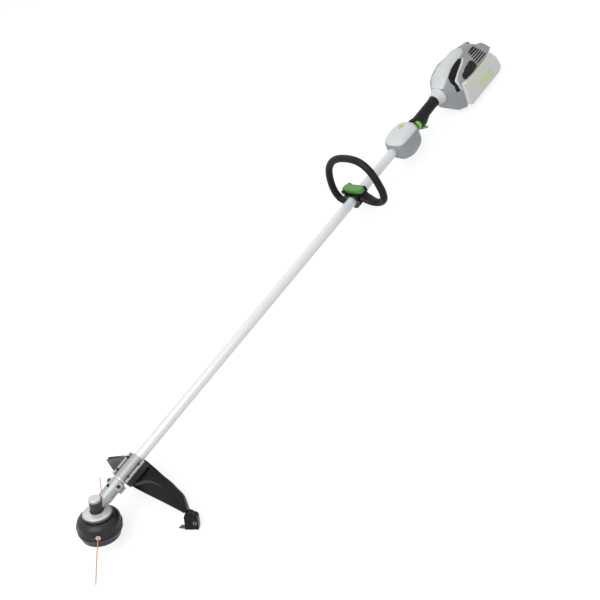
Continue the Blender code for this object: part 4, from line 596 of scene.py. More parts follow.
def shell(name, front, back, place=TOOL, **looks):
    """A closed piece, or several in one, between pairs of grids of the same size, with quads round their rims."""
    points = []
    faces = []
    first = 0
    for upper, lower in zip(*((front, back) if isinstance(front, list) else ([front], [back]))):
        rows, columns = upper.shape[:2]
        count = rows * columns
        index = np.arange(count).reshape(rows, columns)
        rim = np.concatenate([index[0, :], index[1:, -1], index[-1, -2::-1], index[-2:0:-1, 0]])
        after = np.roll(rim, -1)
        face = grid_faces(rows, columns)
        rims = np.stack([rim, rim + count, after + count, after], axis=-1)
        faces += (np.concatenate([face, face[:, ::-1] + count, rims]) + first).tolist()
        points += [upper.reshape(-1, 3), lower.reshape(-1, 3)]
        first += 2 * count
    return add_piece(name, np.concatenate(points), faces, place, **looks)


def round_edges(piece, width, segments=2, angle=32.0):
    """Round a piece's sharp edges."""
    edge = piece.modifiers.new("Edges", "BEVEL")
    edge.width = width
    edge.segments = segments
    edge.limit_method = "ANGLE"
    edge.angle_limit = math.radians(angle)
    edge.use_clamp_overlap = True
    edge.harden_normals = False


def finished_copy(node, name, body="tool", kind=None, bevel=0.0005, segments=2, sharp=32.0, reshape=None):
    """A copy of a CAD piece with its flat faces merged, its edges rounded and its points moved by reshape."""
    mesh = frame["nodes"][node].data.copy()
    if reshape is not None:
        flat = np.empty(3 * len(mesh.vertices))
        mesh.vertices.foreach_get("co", flat)
        local = in_frame(flat.reshape(-1, 3), np.linalg.inv(TOOL))
        mesh.vertices.foreach_set("co", in_frame(reshape(local), TOOL).ravel())
    rewrite(mesh, join_facets)
    piece = dress(bpy.data.objects.new(name, mesh), body, SLOTS[node], kind, node, sharp)
    round_edges(piece, bevel, segments, 38.0)
    return piece


def machine_screw(name, node, place, radius, start, end, head_radius, head_height, body="tool"):
    """A round-headed screw with a hexagon socket.

    Rows of (radius, height) are carried round the axis; in the socket's rows the radius is that of a
    hexagon, r / cos(angle from the middle of its nearest side).
    """
    top = end + head_height
    socket = head_radius * 0.52
    rows = np.array([(0.0, start, 0), (radius, start, 0), (radius, end, 0), (head_radius - 0.0003, end, 0),
                     (head_radius, end + 0.0003, 0), (head_radius, top - 0.0007, 0),
                     (head_radius - 0.0006, top, 0), (socket, top, 1), (socket, top - 0.6 * head_height, 1),
                     (0.0, top - 0.7 * head_height, 0)])
    steps = 48
    angle = np.linspace(0.0, 2 * np.pi, steps, endpoint=False)
    hexagon = 1.0 / np.cos(np.mod(angle, np.pi / 3) - np.pi / 6)
    reach = rows[:, 0:1] * np.where(rows[:, 2:3] > 0, hexagon, 1.0)
    grid = stacked(reach * np.cos(angle), reach * np.sin(angle), rows[:, 1:2])
    add_piece(name, grid, grid_faces(len(rows), steps, close_columns=True), place, body=body, slot="steel",
              kind="blackened_steel", replaced=node)


def radial(azimuth, height=0.0):
    """The frame whose x axis points outwards from the head's axis."""
    return HEAD @ shift(0.0, 0.0, height) @ turn("Z", azimuth)


# Settings

def colour_setting(name, description, *screen):
    """A colour property with its screen values as default."""
    return bpy.props.FloatVectorProperty(name=name, description=description, subtype="COLOR", size=4, min=0.0,
                                         max=1.0, default=srgb(*screen))


class CutterColours(bpy.types.PropertyGroup):
    """Colours that a user may change before the pieces are made."""
    tube: colour_setting("Tube", "Anodised shaft tube", 226, 228, 230)
    # On the upper front shell this light grey is painted light on the top facet
    light_grey: colour_setting("Light grey", "Hood, collar and upper front shell", 220, 223, 225)
    # On the lower front shell this mid grey is painted shade on the sides
    grey: colour_setting("Mid grey", "Motor housing and lower front shell", 160, 163, 166)
    black_plastic: colour_setting("Black", "Guard and vents", 9, 9, 10)
    rubber: colour_setting("Rubber", "Rear grip and loop", 11, 11, 12)
    green: colour_setting("Green", "Clamp lever", 78, 150, 50)
    bright_green: colour_setting("Bright green", "Lock-off plates", 136, 206, 58)
    lime: colour_setting("Lime", "Indicator lens", 178, 204, 84)
    battery: colour_setting("Battery", "Battery case", 236, 238, 237)
    line: colour_setting("Trimmer line", "Nylon line", 235, 140, 95)


class CutterStage(bpy.types.PropertyGroup):
    """Studio settings."""
    key_power: bpy.props.FloatProperty(name="Key light", description="Power of the main soft light",
                                       subtype="POWER", default=58.0, min=0.0)
    fill_power: bpy.props.FloatProperty(name="Fill light", description="Power of the light opposite",
                                        subtype="POWER", default=10.0, min=0.0)
    sky: bpy.props.FloatProperty(name="Sky", description="Even light from all round", default=0.36, min=0.0)
    floor_size: bpy.props.FloatProperty(name="Floor", description="Width of the floor", subtype="DISTANCE",
                                        unit="LENGTH", default=14.0, min=2.0)


# Stage

def split_rays(tree, plain, seen, output):
    """Show the second shader to camera, mirror and glass, and the first to all other rays."""
    path = add(tree, "ShaderNodeLightPath").outputs
    either = calc(tree, "MAXIMUM", calc(tree, "MAXIMUM", path["Is Camera Ray"], path["Is Glossy Ray"]),
                  path["Is Transmission Ray"])
    mix = add(tree, "ShaderNodeMixShader", {0: either, 1: plain.outputs[0], 2: seen.outputs[0]})
    tree.links.new(mix.outputs[0], tree.nodes[output].inputs["Surface"])


def backdrop_material(name, colour, glow):
    """A pale surface that a camera, a mirror and glass see as white, with the object's shadow kept."""
    material = bpy.data.materials.new(name)
    material.use_nodes = True
    tree = material.node_tree
    tree.nodes.remove(tree.nodes["Principled BSDF"])
    tone = use(tree, "drift", Vector=coordinates(tree), Colour=colour, Scale=3.0, Amount=0.01)
    plain = add(tree, "ShaderNodeBsdfDiffuse", {"Color": tone})
    soft = add(tree, "ShaderNodeBsdfDiffuse", {"Color": srgb(150, 151, 153)})
    light = add(tree, "ShaderNodeEmission", {"Color": WHITE, "Strength": glow})
    seen = add(tree, "ShaderNodeAddShader", {0: soft.outputs[0], 1: light.outputs[0]})
    split_rays(tree, plain, seen, "Material Output")
    return material


def make_world(strength):
    """A white background for camera, mirror and glass, and an even light for the rest."""
    world = bpy.data.worlds.new("Studio")
    world.use_nodes = True
    tree = world.node_tree
    ground = tree.nodes["Background"]
    ground.inputs["Color"].default_value = WHITE
    ground.inputs["Strength"].default_value = strength
    white = add(tree, "ShaderNodeBackground", {"Color": WHITE, "Strength": 1.0})
    split_rays(tree, ground, white, "World Output")
    bpy.context.scene.world = world


def add_light(name, location, target, size, power):
    """A square soft light turned to its target."""
    light = bpy.data.lights.new(name, "AREA")
    light.shape = "SQUARE"
    light.size = size
    light.energy = power
    holder = bpy.data.objects.new(name, light)
    holder.location = location
    holder.rotation_euler = (Vector(target) - Vector(location)).to_track_quat("-Z", "Y").to_euler()
    bpy.context.scene.collection.objects.link(holder)


class SetStage(bpy.types.Operator):
    """Camera at the photograph's angle, pale floor, soft lights and a white world"""
    bl_idname = "cutter.set_stage"
    bl_label = "Set the stage"

    def execute(self, context):
        settings = context.scene.cutter_stage
        context.scene.view_settings.view_transform = "Standard"
        lens = bpy.data.cameras.new("Camera")
        lens.lens = CAMERA_LENS
        lens.sensor_width = CAMERA_SENSOR
        lens.clip_end = 50.0
        camera = bpy.data.objects.new("Camera", lens)
        camera.matrix_world = Matrix((TOOL @ CAMERA_IN_TOOL).tolist())
        context.scene.collection.objects.link(camera)
        context.scene.camera = camera
        half = settings.floor_size / 2
        mesh = bpy.data.meshes.new("floor")
        mesh.from_pydata([(-half, -half, 0.0), (half, -half, 0.0), (half, half, 0.0), (-half, half, 0.0)], [],
                         [(0, 1, 2, 3)])
        floor = bpy.data.objects.new("floor", mesh)
        floor.data.materials.append(backdrop_material("pale floor", srgb(226, 226, 226), 0.80))
        context.scene.collection.objects.link(floor)
        make_world(settings.sky)
        add_light("Key light", (-1.1, -0.5, 2.6), (0.0, 0.0, 0.1), 2.2, settings.key_power)
        add_light("Fill light", (0.9, 1.7, 1.9), (0.1, 0.0, 0.1), 2.6, settings.fill_power)
        return {"FINISHED"}


class MakeTrimmerLines(bpy.types.Operator):
    """The two stiff ends of trimmer line that stand out of their eyelets"""
    bl_idname = "cutter.make_trimmer_lines"
    bl_label = "Make the trimmer lines"

    def execute(self, context):
        for (label, azimuth), droop, swing in zip(EYELETS, (0.014, 0.006), (0.0, 0.010)):
            # Straight out of the eyelet, then down and aside with the square of the free length
            place = radial(azimuth, LINE_HEIGHT)
            reach = np.linspace(HEAD_RADIUS - 0.006, HEAD_RADIUS + LINE_LENGTH, 33)
            free = np.clip((reach - HEAD_RADIUS - LINE_BEND) / (LINE_LENGTH - LINE_BEND), 0.0, None)
            route = in_frame(stacked(reach, swing * free ** 2, -droop * free ** 2), place)
            curve = bpy.data.curves.new("nylon_line_" + label, "CURVE")
            curve.dimensions = "3D"
            curve.bevel_depth = 0.0012
            curve.bevel_resolution = 4
            curve.use_fill_caps = True
            spline = curve.splines.new("POLY")
            spline.points.add(len(route) - 1)
            spline.points.foreach_set("co", np.hstack([route, np.ones((len(route), 1))]).ravel())
            piece = dress(bpy.data.objects.new("nylon_line_" + label, curve), "cutting_head", "orange_line",
                          replaced="trimmer_line_" + label)
        return {"FINISHED"}


class MakeShaft(bpy.types.Operator):
    """The aluminium tube, the gearbox with its cap and screws"""
    bl_idname = "cutter.make_shaft"
    bl_label = "Make the shaft and gearbox"

    def execute(self, context):
        turned("drawn_tube", [(13, 34), (13, 1282.5), (11.5, 1282.5), (11.5, 34)], TOOL, ring=True, soft=0.0004,
               along_shaft=True, slot="tube_aluminium", replaced="shaft_tube")
        finished_copy("gearbox_housing", "gearbox_casting", kind="gearbox", bevel=0.0006)
        turned("gearbox_lid", [(0, 28.8), (13, 28.8), (14.5, 27.5), (14.5, 26.3), (0, 26.3)], soft=0.0012,
               slot="dish_aluminium", replaced="gearbox_cap")
        machine_screw("neck_pinch_screw", "gearbox_clamp_bolt", TOOL @ shift(0.066, -0.021, 0.0), 0.0025, -0.0095,
                      0.0078, 0.0042, 0.0034)
        lug = rounded([(15.8, -5, 1), (26.2, -5, 4), (26.2, 7.8, 4.5), (15.8, 7.8, 1)])
        prism("neck_lug", lug, 0.0590, 0.0730, bevel=0.0012, segments=3, slot="cast_aluminium")
        turned("neck_lug_socket", [(0, 8), (3.8, 8), (3.8, 8.6), (2, 8.6), (1.6, 7), (0, 7)],
               TOOL @ shift(0.066, 0.0210, 0.0), steps=48, soft=0.0002, slot="steel", kind="blackened_steel")
        machine_screw("neck_stop_screw", "gearbox_locating_screw", TOOL @ shift(0.054, 0.0, 0.0), 0.0022, 0.0148,
                      0.0173, 0.0036, 0.0026)
        return {"FINISHED"}


# Profiles of the cutting head as (radius, height) in millimetres along its axis
DISH = ((16.5, -5.2), (29.5, -7.8), (33.5, -9.8), (33.5, -11.6), (31.5, -12.4), (4.3, -12.4), (4.3, -9.3),
        (15.3, -9.3))
DOME = ((29, -13), (29, -16), (35.2, -16.4), (35.8, -17.2), (35.2, -18), (32, -18.4), (32, -19.2), (38.2, -19.6),
        (41.5, -21), (44, -22.8), (47, -25.2), (49.5, -29), (49.5, -30.2), (50.2, -31.6), (51, -37), (51.7, -42),
        (51.8, -43.5), (50.6, -44.2), (50.6, -45.5), (51.8, -46.2), (51.8, -49.7), (49.3, -49.7), (49.3, -42),
        (46.5, -30.5), (41, -25), (33, -21.8), (14, -20), (14, -30), (4.3, -30), (4.3, -13))
COVER = ((52.3, -50.3), (52.3, -53), (51.2, -53.6), (51.2, -54.6), (52.2, -55.2), (52, -56.4), (49.8, -58.5),
         (48.3, -63), (45.5, -74), (39.5, -78), (21.8, -78), (21.8, -75.5), (38.5, -75.5), (43, -72), (45.3, -61),
         (49.3, -50.3))
KNOB = ((0, -80), (12, -80), (12, -60.8), (21, -60.8), (21, -83), (18, -86.5), (12, -88), (0, -88))
EYELET = ((4.6, 52.2), (4.6, 46.8), (1.7, 46.8), (1.7, 53.8), (5.8, 53.8), (5.8, 52.2))


class MakeCuttingHead(bpy.types.Operator):
    """The silver dish and the line head: housing, cover, knob, eyelets and release tabs"""
    bl_idname = "cutter.make_cutting_head"
    bl_label = "Make the cutting head"

    def execute(self, context):
        body = "cutting_head"
        turned("silver_dish", DISH, ring=True, soft=0.0006, body=body, slot="dish_aluminium",
               replaced="flange_dish")
        turned("head_dome", DOME, steps=128, ring=True, body=body, kind="head_plastic",
               replaced="head_upper_housing")
        turned("collar_ring", [(29.2, -13.4), (34.6, -13.4), (34.6, -14.6), (29.2, -14.6)], ring=True,
               soft=0.0004, body=body, slot="steel")
        turned("head_cover", COVER, steps=144, ring=True, soft=0.0006, flutes=(24, 0.0005, -0.077, -0.059),
               body=body, kind="head_plastic", replaced="head_lower_cover")
        turned("tap_knob", KNOB, soft=0.001, flutes=(12, 0.0012, -0.086, -0.076), body="bump_knob",
               replaced="bump_knob")
        for label, azimuth in EYELETS:
            turned("eyelet_" + label, EYELET, radial(azimuth, LINE_HEIGHT), 48, True, 0.0006, True, body=body,
                   slot="steel", kind="dish_aluminium", replaced="line_eyelet_" + label)
            self.release_tab(label, azimuth + math.pi / 2)
        return {"FINISHED"}

    def release_tab(self, label, azimuth):
        """A press tab with three ribs: reach = radius + lift, the lift falling to nothing at a rounded edge."""
        u, v = shares(49, 25, -1.0, -1.0)
        ribs = 0.0004 * np.clip(np.cos(u * np.pi * 4.5), 0.0, 1.0) * (np.abs(v) < 0.62) * (np.abs(u) < 0.8)
        lift = 0.0011 * domed((1.0 - (np.abs(u) ** 6 + np.abs(v) ** 6) ** (1 / 6)) / 0.12) + ribs
        angle = azimuth + u * math.radians(15.0)
        height = -0.0435 + 0.0048 * v
        top, back = (stacked(reach * np.cos(angle), reach * np.sin(angle), height)
                     for reach in (HEAD_RADIUS - 0.0002 + lift, HEAD_RADIUS - 0.0006))
        shell("release_tab_" + label, top, back, HEAD, body="cutting_head", kind="head_plastic")


def walled(piece, thickness, inside, even=False):
    """Turn an open surface's faces away from a point and give it a wall on its inner side."""
    if sum(face.normal.dot(face.center - Vector(inside)) for face in piece.data.polygons) < 0.0:
        piece.data.flip_normals()
    wall = piece.modifiers.new("Wall", "SOLIDIFY")
    wall.thickness = thickness
    wall.offset = -1.0
    wall.use_even_offset = even


def half_ring(radius, count):
    """Points of a half circle over the shaft."""
    arc = np.linspace(math.pi - 0.03, 0.03, count)
    return radius * stacked(np.cos(arc), np.sin(arc))


# The guard's rear edge: share of the half span, place behind the head's axis and height, in the head's frame
GUARD_REAR = ((0.0, 0.1440, 0.0540), (0.16, 0.1475, 0.0445), (0.32, 0.1535, 0.0290), (0.5, 0.1590, 0.0160),
              (0.7, 0.1590, 0.0060), (0.85, 0.1505, -0.0015), (1.0, 0.1370, -0.0090))
# Where its crease runs from the front edge (0) to the skirt (1), at shares of the half span
GUARD_CREASE = ((0.0, 0.16, 0.24, 0.34, 0.5, 0.7, 1.0), (-0.2, 0.02, 0.20, 0.36, 0.46, 0.52, 0.56))
GUARD_STEPS = (0.0, 0.02, 0.05, 0.09, 0.13, 0.2, 0.3, 0.4, 0.5, 0.6, 0.7, 0.8, 0.9, 0.96, 1.0)


class MakeGuard(bpy.types.Operator):
    """The guard's shell with its lip, crease, tongue and end block, the clamp halves and bolts"""
    bl_idname = "cutter.make_guard"
    bl_label = "Make the guard"

    def execute(self, context):
        share = np.linspace(-1.0, 1.0, 145)
        side = np.abs(share)
        rear_x, rear_z = eased(side, GUARD_REAR).T
        front_x = GUARD_FRONT + 0.045 * side ** 1.5
        front_z = 0.0230 - 0.0320 * side ** 2
        bulge = 0.012 * side * (1.0 - side)
        # Each cut runs over front edge, crown, rear shoulder and skirt, and is evened out over seven points
        knots = [(front_x, front_z), ((front_x + rear_x) / 2, (front_z + rear_z) / 2 + bulge), (rear_x, rear_z),
                 (rear_x + 0.0070, rear_z - 0.0060), (rear_x + 0.0095, rear_z - 0.0160),
                 (rear_x + 0.0105, SKIRT_BOTTOM)]
        grid = np.stack([stacked(x, GUARD_HALF_SPAN * share, z) for x, z in knots], axis=1)
        fine = []
        for near in range(5):
            steps = np.array(GUARD_STEPS if near < 2 else np.linspace(0.0, 1.0, 4))[None, :, None]
            part = grid[:, near:near + 1] * (1 - steps) + grid[:, near + 1:near + 2] * steps
            fine.append(part if near == 4 else part[:, :-1])
        cut = np.concatenate(fine, axis=1)
        rows = cut.shape[1]
        padded = np.pad(cut, ((0, 0), (3, 3), (0, 0)), mode="reflect", reflect_type="odd")
        smooth = sum(padded[:, first:first + rows] for first in range(7)) / 7.0
        smooth[:, [0, -1]] = cut[:, [0, -1]]
        # A lip along the front edge, and a crease that parts the sunken inner panel from the outer band
        run = np.linspace(0.0, 1.0, rows)[None, :]
        far_in = np.hypot(smooth[..., 0] - smooth[:, :1, 0], smooth[..., 2] - smooth[:, :1, 2])
        lip = 0.0013 * np.exp(-(np.clip(far_in - 0.0028, 0.0, None) / 0.0016) ** 2)
        step = smoothstep((run - np.interp(side, *GUARD_CREASE)[:, None]) / 0.09)
        smooth[..., 2] += lip * np.clip((GUARD_HALF_SPAN - np.abs(smooth[..., 1])) / 0.006, 0.0, 1.0)
        smooth[..., 2] += 0.0030 * step * np.clip((0.95 - run) / 0.2, 0.0, 1.0)
        piece = add_piece("guard_moulding", smooth, grid_faces(len(share), rows), HEAD, False,
                          replaced="guard_shell")
        walled(piece, GUARD_WALL, (0.0, 0.0, -10.0), True)
        self.carrier()
        self.clamp()
        block = HEAD @ turn("Z", BLOCK_AZIMUTH)
        for name, half, bevel, *corners in (
                ("guard_end_block", 0.0100, 0.0022, (201, -58, 1), (233, -58, 2), (233, -20, 11), (201, -20, 5)),
                ("end_block_link", 0.0084, 0.0026, (202, -28, 2), (228, -28, 2), (221, -14, 6), (205, -12, 6))):
            prism(name, rounded(corners, 6), -half, half, block, "y", bevel, 3, replaced="guard_shell")
        turned("block_eyelet", [(3, -10.3), (4.6, -10.3), (4.6, 10.3), (3, 10.3)],
               block @ shift(0.225, 0.0, -0.040) @ turn("X", math.pi / 2), 40, True, 0.0003, slot="steel")
        finished_copy("line_cutter_blade", "cutter_blade", kind="steel", bevel=0.0003)
        return {"FINISHED"}

    def carrier(self):
        """The tongue under the clamp with its three webs."""
        foot = rounded([(-26.5, -20.5, 1), (26.5, -20.5, 1), (26.5, -17.3, 1), (-26.5, -17.3, 1)], 3)
        prism("guard_foot", foot, CLAMP_LOW + 0.004, CLAMP_HIGH, replaced="guard_shell")
        web = [(0.091, -0.019), (0.097, -0.025), (0.135, -0.037), (0.145, -0.037), (0.145, -0.019)]
        for number, place in enumerate((-0.0130, 0.0, 0.0130), 1):
            prism("guard_web_%d" % number, web, place - 0.0015, place + 0.0015, facing="y", bevel=0.0004,
                  replaced="guard_shell")

    def clamp(self):
        """The clamp: a half round saddle, dark flanges (their dark colour painted shade in the valley by the
        saddle) with a light rail on each, the lower block and screws.
        """
        looks = {"slot": "cast_aluminium", "replaced": "guard_clamp_upper"}
        saddle = np.vstack([half_ring(TUBE_RADIUS + SEAT_GAP, 41), half_ring(TUBE_RADIUS + 0.0032, 41)[::-1]])
        prism("clamp_saddle", saddle, CLAMP_LOW, CLAMP_HIGH, bevel=0.0007, **looks)
        for label, sign in SIDES:
            low, high = sorted((sign * 16.0, sign * 28.0))
            # The flange's dark finish is painted shade in the valley between the saddle and the rail
            flange = rounded([(low, 0.4, 0.3), (high, 0.4, 0.3), (high, 3.4, 0.8), (low, 3.4, 0.8)], 3)
            prism("clamp_flange_" + label, flange, CLAMP_LOW + 0.0015, CLAMP_HIGH - 0.0015, bevel=0.0004,
                  kind="dark_casting", **looks)
            low, high = sorted((sign * 21.9, sign * 28.5))
            rail = rounded([(low, 3, 0.5), (high, 0.8, 0.5), (high, 7.2, 2), (low, 7.2, 2)], 4)
            prism("clamp_rail_" + label, rail, CLAMP_LOW, CLAMP_HIGH, bevel=0.0010, **looks)
        finished_copy("guard_clamp_lower", "clamp_block", kind="dark_casting", bevel=0.0008)
        for number in range(1, 5):
            x = (CLAMP_LOW + 0.014, CLAMP_HIGH - 0.014)[(number - 1) % 2]
            y = (-0.02225, 0.02225)[(number - 1) // 2]
            machine_screw("clamp_screw_%d" % number, "guard_bolt_%d" % number, TOOL @ shift(x, y, 0.0), 0.0022,
                          CLAMP_UNDER - 0.007, 0.0072, 0.0034, 0.0016)


# The loop's centre line in the handle's frame in millimetres, from the saddle's right side over the shaft to
# its left side, the curve's steps between two knots, and its lean back in step with the height
LOOP_KNOTS = ((15.8, 4.8), (26, 0), (41, -20), (58, -28), (73.5, -26), (83.5, -14.5), (87, 4), (87.2, 26),
              (80, 55), (65.5, 82), (40, 103.5), (8, 114), (-32, 115), (-63, 107.5), (-84, 90.5), (-96.5, 68),
              (-103, 43), (-105.5, 18), (-98.5, -3), (-78, -16.5), (-54, -17.5), (-33, -7), (-15.8, 4.8))
LOOP_STEPS = 12
LOOP_LEAN = 0.15


class MakeLoopHandle(bpy.types.Operator):
    """The loop, its saddle, jaw, draw bolt and green lever"""
    bl_idname = "cutter.make_loop_handle"
    bl_label = "Make the loop handle"

    def execute(self, context):
        self.bar()
        looks = {"body": "loop_handle", "replaced": "loop_handle"}
        outside = rounded([(24, 0.6, 0.6), (24, 16, 3.5), (-24, 16, 3.5), (-24, 0.6, 0.6)])
        prism("handle_saddle", np.vstack([half_ring(TUBE_RADIUS + SEAT_GAP, 33), outside]), -0.022, 0.022, HANDLE,
              bevel=0.0010, segments=3, **looks)
        cheek = rounded([(13.5, 13, 0.5), (26.5, 13, 0.5), (33, 17.8, 2), (33, 26.3, 3), (22.5, 26.3, 3)])
        for label, low in (("rear", 0.0121), ("front", -0.0171)):
            prism("lever_cheek_" + label, cheek, low, low + 0.0050, HANDLE, bevel=0.0007, **looks)
        finished_copy("handle_lower_jaw", "handle_jaw", "loop_handle", bevel=0.0012, segments=3)
        machine_screw("handle_pull_screw", "handle_draw_bolt", HANDLE @ shift(0.0, -0.018, 0.0), 0.0025, -0.016,
                      0.0137, 0.0042, 0.0020, "loop_handle")
        finished_copy("handle_clamp_lever", "green_lever", "clamp_lever", bevel=0.0016, segments=3)
        return {"FINISHED"}

    def bar(self):
        """The loop: place + across wide cos(a) + out thick sin(a), flat at the saddle and round from there."""
        knots = np.array(LOOP_KNOTS) * MM
        path = curve_through(np.column_stack([LOOP_LEAN * np.clip(knots[:, 1], 0.0, None), knots]), LOOP_STEPS)
        out = np.cross(np.gradient(path, axis=0), (1.0, 0.0, 0.0))
        out /= np.linalg.norm(out, axis=1, keepdims=True)
        place = np.arange(len(path)) / LOOP_STEPS
        blend = smoothstep((np.minimum(place, place[-1] - place) - 0.5) / 3.0)[:, None]
        wide, thick = (root + (BAR_RADIUS - root) * blend for root in BAR_ROOT)
        sides = 40
        angle = np.linspace(0.0, 2 * np.pi, sides, endpoint=False)
        grid = path[:, None] + out[:, None] * (thick * np.sin(angle))[..., None]
        grid[..., 0] += wide * np.cos(angle)
        ends = np.arange(sides)
        faces = grid_faces(len(path), sides, close_columns=True).tolist()
        faces += [ends.tolist(), (ends + (len(path) - 1) * sides).tolist()]
        add_piece("loop_bar", grid, faces, HANDLE, body="loop_handle", kind="black_rubber",
                  replaced="loop_handle")


# The front housing's right half in millimetres: place behind its front, half width and height of the top, half
# width of the side, heights of shoulder and hip, half width and height of the base, and the corners' radius
FRONT_SECTIONS = MM * np.array([(0, 9, 19.5, 18, 10, -8, 10, -19.5, 4), (3, 13, 23.5, 24, 13, -12, 13, -25.5, 5),
                                (10, 21, 28, 31, 19, -17, 18, -33.5, 6), (24, 26, 30.6, 35, 23, -22, 20, -42, 6),
                                (52, 25, 32, 36.2, 24.5, -24, 21.5, -49, 6),
                                (76, 22, 31.6, 35.6, 23.5, -23, 20.5, -46.5, 6),
                                (87, 17, 28.5, 30, 19, -17, 17, -37, 6),
                                (95, 11, 22.5, 21.5, 13, -11, 12, -24, 5),
                                (99, 9, 20, 18, 10, -8, 10, -18.5, 4)])


class MakeFrontHousing(bpy.types.Operator):
    """The faceted housing before the grip: light upper shell and grey lower shell, whose greys are painted light
    on the top facet and painted shade on the sides, tube seal and lens
    """
    bl_idname = "cutter.make_front_housing"
    bl_label = "Make the front housing"

    def sections(self, x):
        """The right half of each section from its top to its bottom, its corners rounded."""
        top_y, top, side, shoulder, hip, base_y, base, radius = eased(x - FRONT_START, FRONT_SECTIONS).T
        corners = [(0.0, top), (top_y, top), (side, shoulder), (side, hip), (base_y, base), (0.0, base)]
        return softened(np.stack([stacked(y + 0.0 * x, z) for y, z in corners], axis=1), radius[:, None, None],
                        steps=6)

    def skin(self, x, level, upper):
        """The part of each section above or below the parting, evenly divided along its length."""
        rows = []
        for line in self.sections(x):
            run = run_of(line)
            split = np.interp(-level, -line[:, 1], run)
            right = places_on(line, run, np.linspace(*((0.0, split) if upper else (split, run[-1])), 40))
            left = right[::-1] * (-1.0, 1.0)
            rows.append(np.vstack([left, right[1:]] if upper else [right, left[1:]]))
        grid = np.array(rows)
        return stacked(x[:, None], grid[..., 0], grid[..., 1])

    def execute(self, context):
        end = FRONT_START + FRONT_LENGTH
        x = np.concatenate([np.linspace(FRONT_START, FRONT_START + 0.004, 21)[:-1],
                            np.linspace(FRONT_START + 0.004, end - 0.008, 48)[:-1],
                            np.linspace(end - 0.008, end, 21)])
        above = x[self.sections(x)[:, 0, 1] > FRONT_PARTING + 0.0005]
        centre = in_frame(np.array([FRONT_START + 0.05, 0.0, 0.0]), TOOL)
        # The upper shell's light grey is painted light on the top facet, and the lower shell's mid grey is
        # painted shade on the sides
        for label, slot, gap, places in (("upper", "light_grey_plastic", 0.0002, above),
                                         ("lower", "grey_plastic", -0.0002, x)):
            grid = self.skin(places, FRONT_PARTING + gap, label == "upper")
            if label == "lower":
                # Both ends are closed down to the tube's radius
                ends = grid[[0, -1]]
                ends[..., 1:] *= 0.0136 / np.linalg.norm(ends[..., 1:], axis=-1, keepdims=True)
                grid = np.concatenate([ends[:1], grid, ends[1:]])
            piece = add_piece("front_shell_" + label, grid, grid_faces(*grid.shape[:2]), outward=False, slot=slot,
                              replaced="front_housing_" + label, sharp=24.0)
            walled(piece, HOUSING_WALL, centre)
        turned("tube_seal", [(13.3, -3), (15.8, -3), (17.6, 0.8), (13.3, 0.8)],
               TOOL @ shift(FRONT_START, 0.0, 0.0), 64, True, 0.0008, True, slot="grey_plastic")
        self.lens()
        return {"FINISHED"}

    def lens(self):
        """An indicator lens let into the top: a rounded plate, its lift falling to nothing at the rim."""
        u = np.linspace(0.0, 2 * np.pi, 64)
        v = np.linspace(0.0, 1.0, 14)
        x = FRONT_START + 0.066 + 0.0100 * np.outer(v, np.cos(u))
        y = 0.0075 + 0.0085 * np.outer(v, np.sin(u))
        z = 0.0312 + 0.0016 * np.sqrt(np.clip(1.0 - v ** 4, 0.0, 1.0))[:, None]
        shell("indicator_lens", stacked(x, y, z), stacked(x, y, z - 0.0024), slot="bright_green_plastic",
              kind="lime")


class MakeRearGrip(bpy.types.Operator):
    """The rubber grip halves, trigger, the lock-off's thumb plates and strap, and the flared collar"""
    bl_idname = "cutter.make_rear_grip"
    bl_label = "Make the rear grip"

    def execute(self, context):
        for label, _ in SIDES:
            finished_copy("grip_%s_half" % label, "grip_" + label, sharp=40.0)
        finished_copy("trigger", "green_trigger", "trigger", "trigger_green", bevel=0.0009, segments=3)
        for label, sign in SIDES:
            self.cheek(label, sign)
        self.bridge()
        # The flare opens with the power 1.7 of the way along it
        t = np.linspace(0.0, 1.0, 15)
        flare = stacked(18.2 + 7.3 * t ** 1.7, 22.0 * t)
        turned("flared_collar", [(10.5, 0), *flare, (25.5, 24), (24.5, 26), (10.5, 26)],
               TOOL @ shift(COLLAR_START, 0.0, REAR_OFFSET), ring=True, soft=0.0006, along_shaft=True,
               slot="light_grey_plastic", replaced="rear_collar")
        return {"FINISHED"}

    def cheek(self, label, sign):
        """A D-shaped thumb plate on the grip's side.

        Its front edge runs straight round the grip and its rear edge stands off by width sqrt(1 - s^2), where s
        goes from -1 to 1 round the grip; its thickness falls off at the rim.
        """
        s, v = shares(41, 17, -1.0)
        angle = math.radians(-8.0) + s * math.radians(60.0)
        width = 0.0006 + 0.0128 * np.sqrt(np.clip(1.0 - s ** 2, 0.0, 1.0))
        x = LOCK_FRONT + 0.0008 * s ** 2 + width * v
        lift = 0.0009 + 0.0030 * domed(np.minimum(np.minimum(v, 1.0 - v) * width / 0.0022,
                                                  (1.0 - np.abs(s)) / 0.10))
        top, low = (stacked(x, sign * r * np.cos(angle), REAR_OFFSET + r * np.sin(angle))
                    for r in (LOCK_RADIUS + lift, LOCK_RADIUS + 0.0001))
        shell("lock_off_cheek_" + label, top, low, body="lock_off", slot="bright_green_plastic",
              replaced="lock_off_saddle")

    def bridge(self):
        """The thin dark strap that joins the two thumb plates over the grip."""
        angle = np.linspace(math.radians(44.0), math.radians(136.0), 33)[:, None]
        x = np.linspace(LOCK_FRONT + 0.0015, LOCK_FRONT + 0.0095, 5)[None, :]
        top, low = (stacked(x, r * np.cos(angle), REAR_OFFSET + r * np.sin(angle))
                    for r in (LOCK_RADIUS + 0.0014, LOCK_RADIUS + 0.0001))
        shell("lock_off_strap", top, low, body="lock_off", slot="black_rubber", replaced="lock_off_saddle")


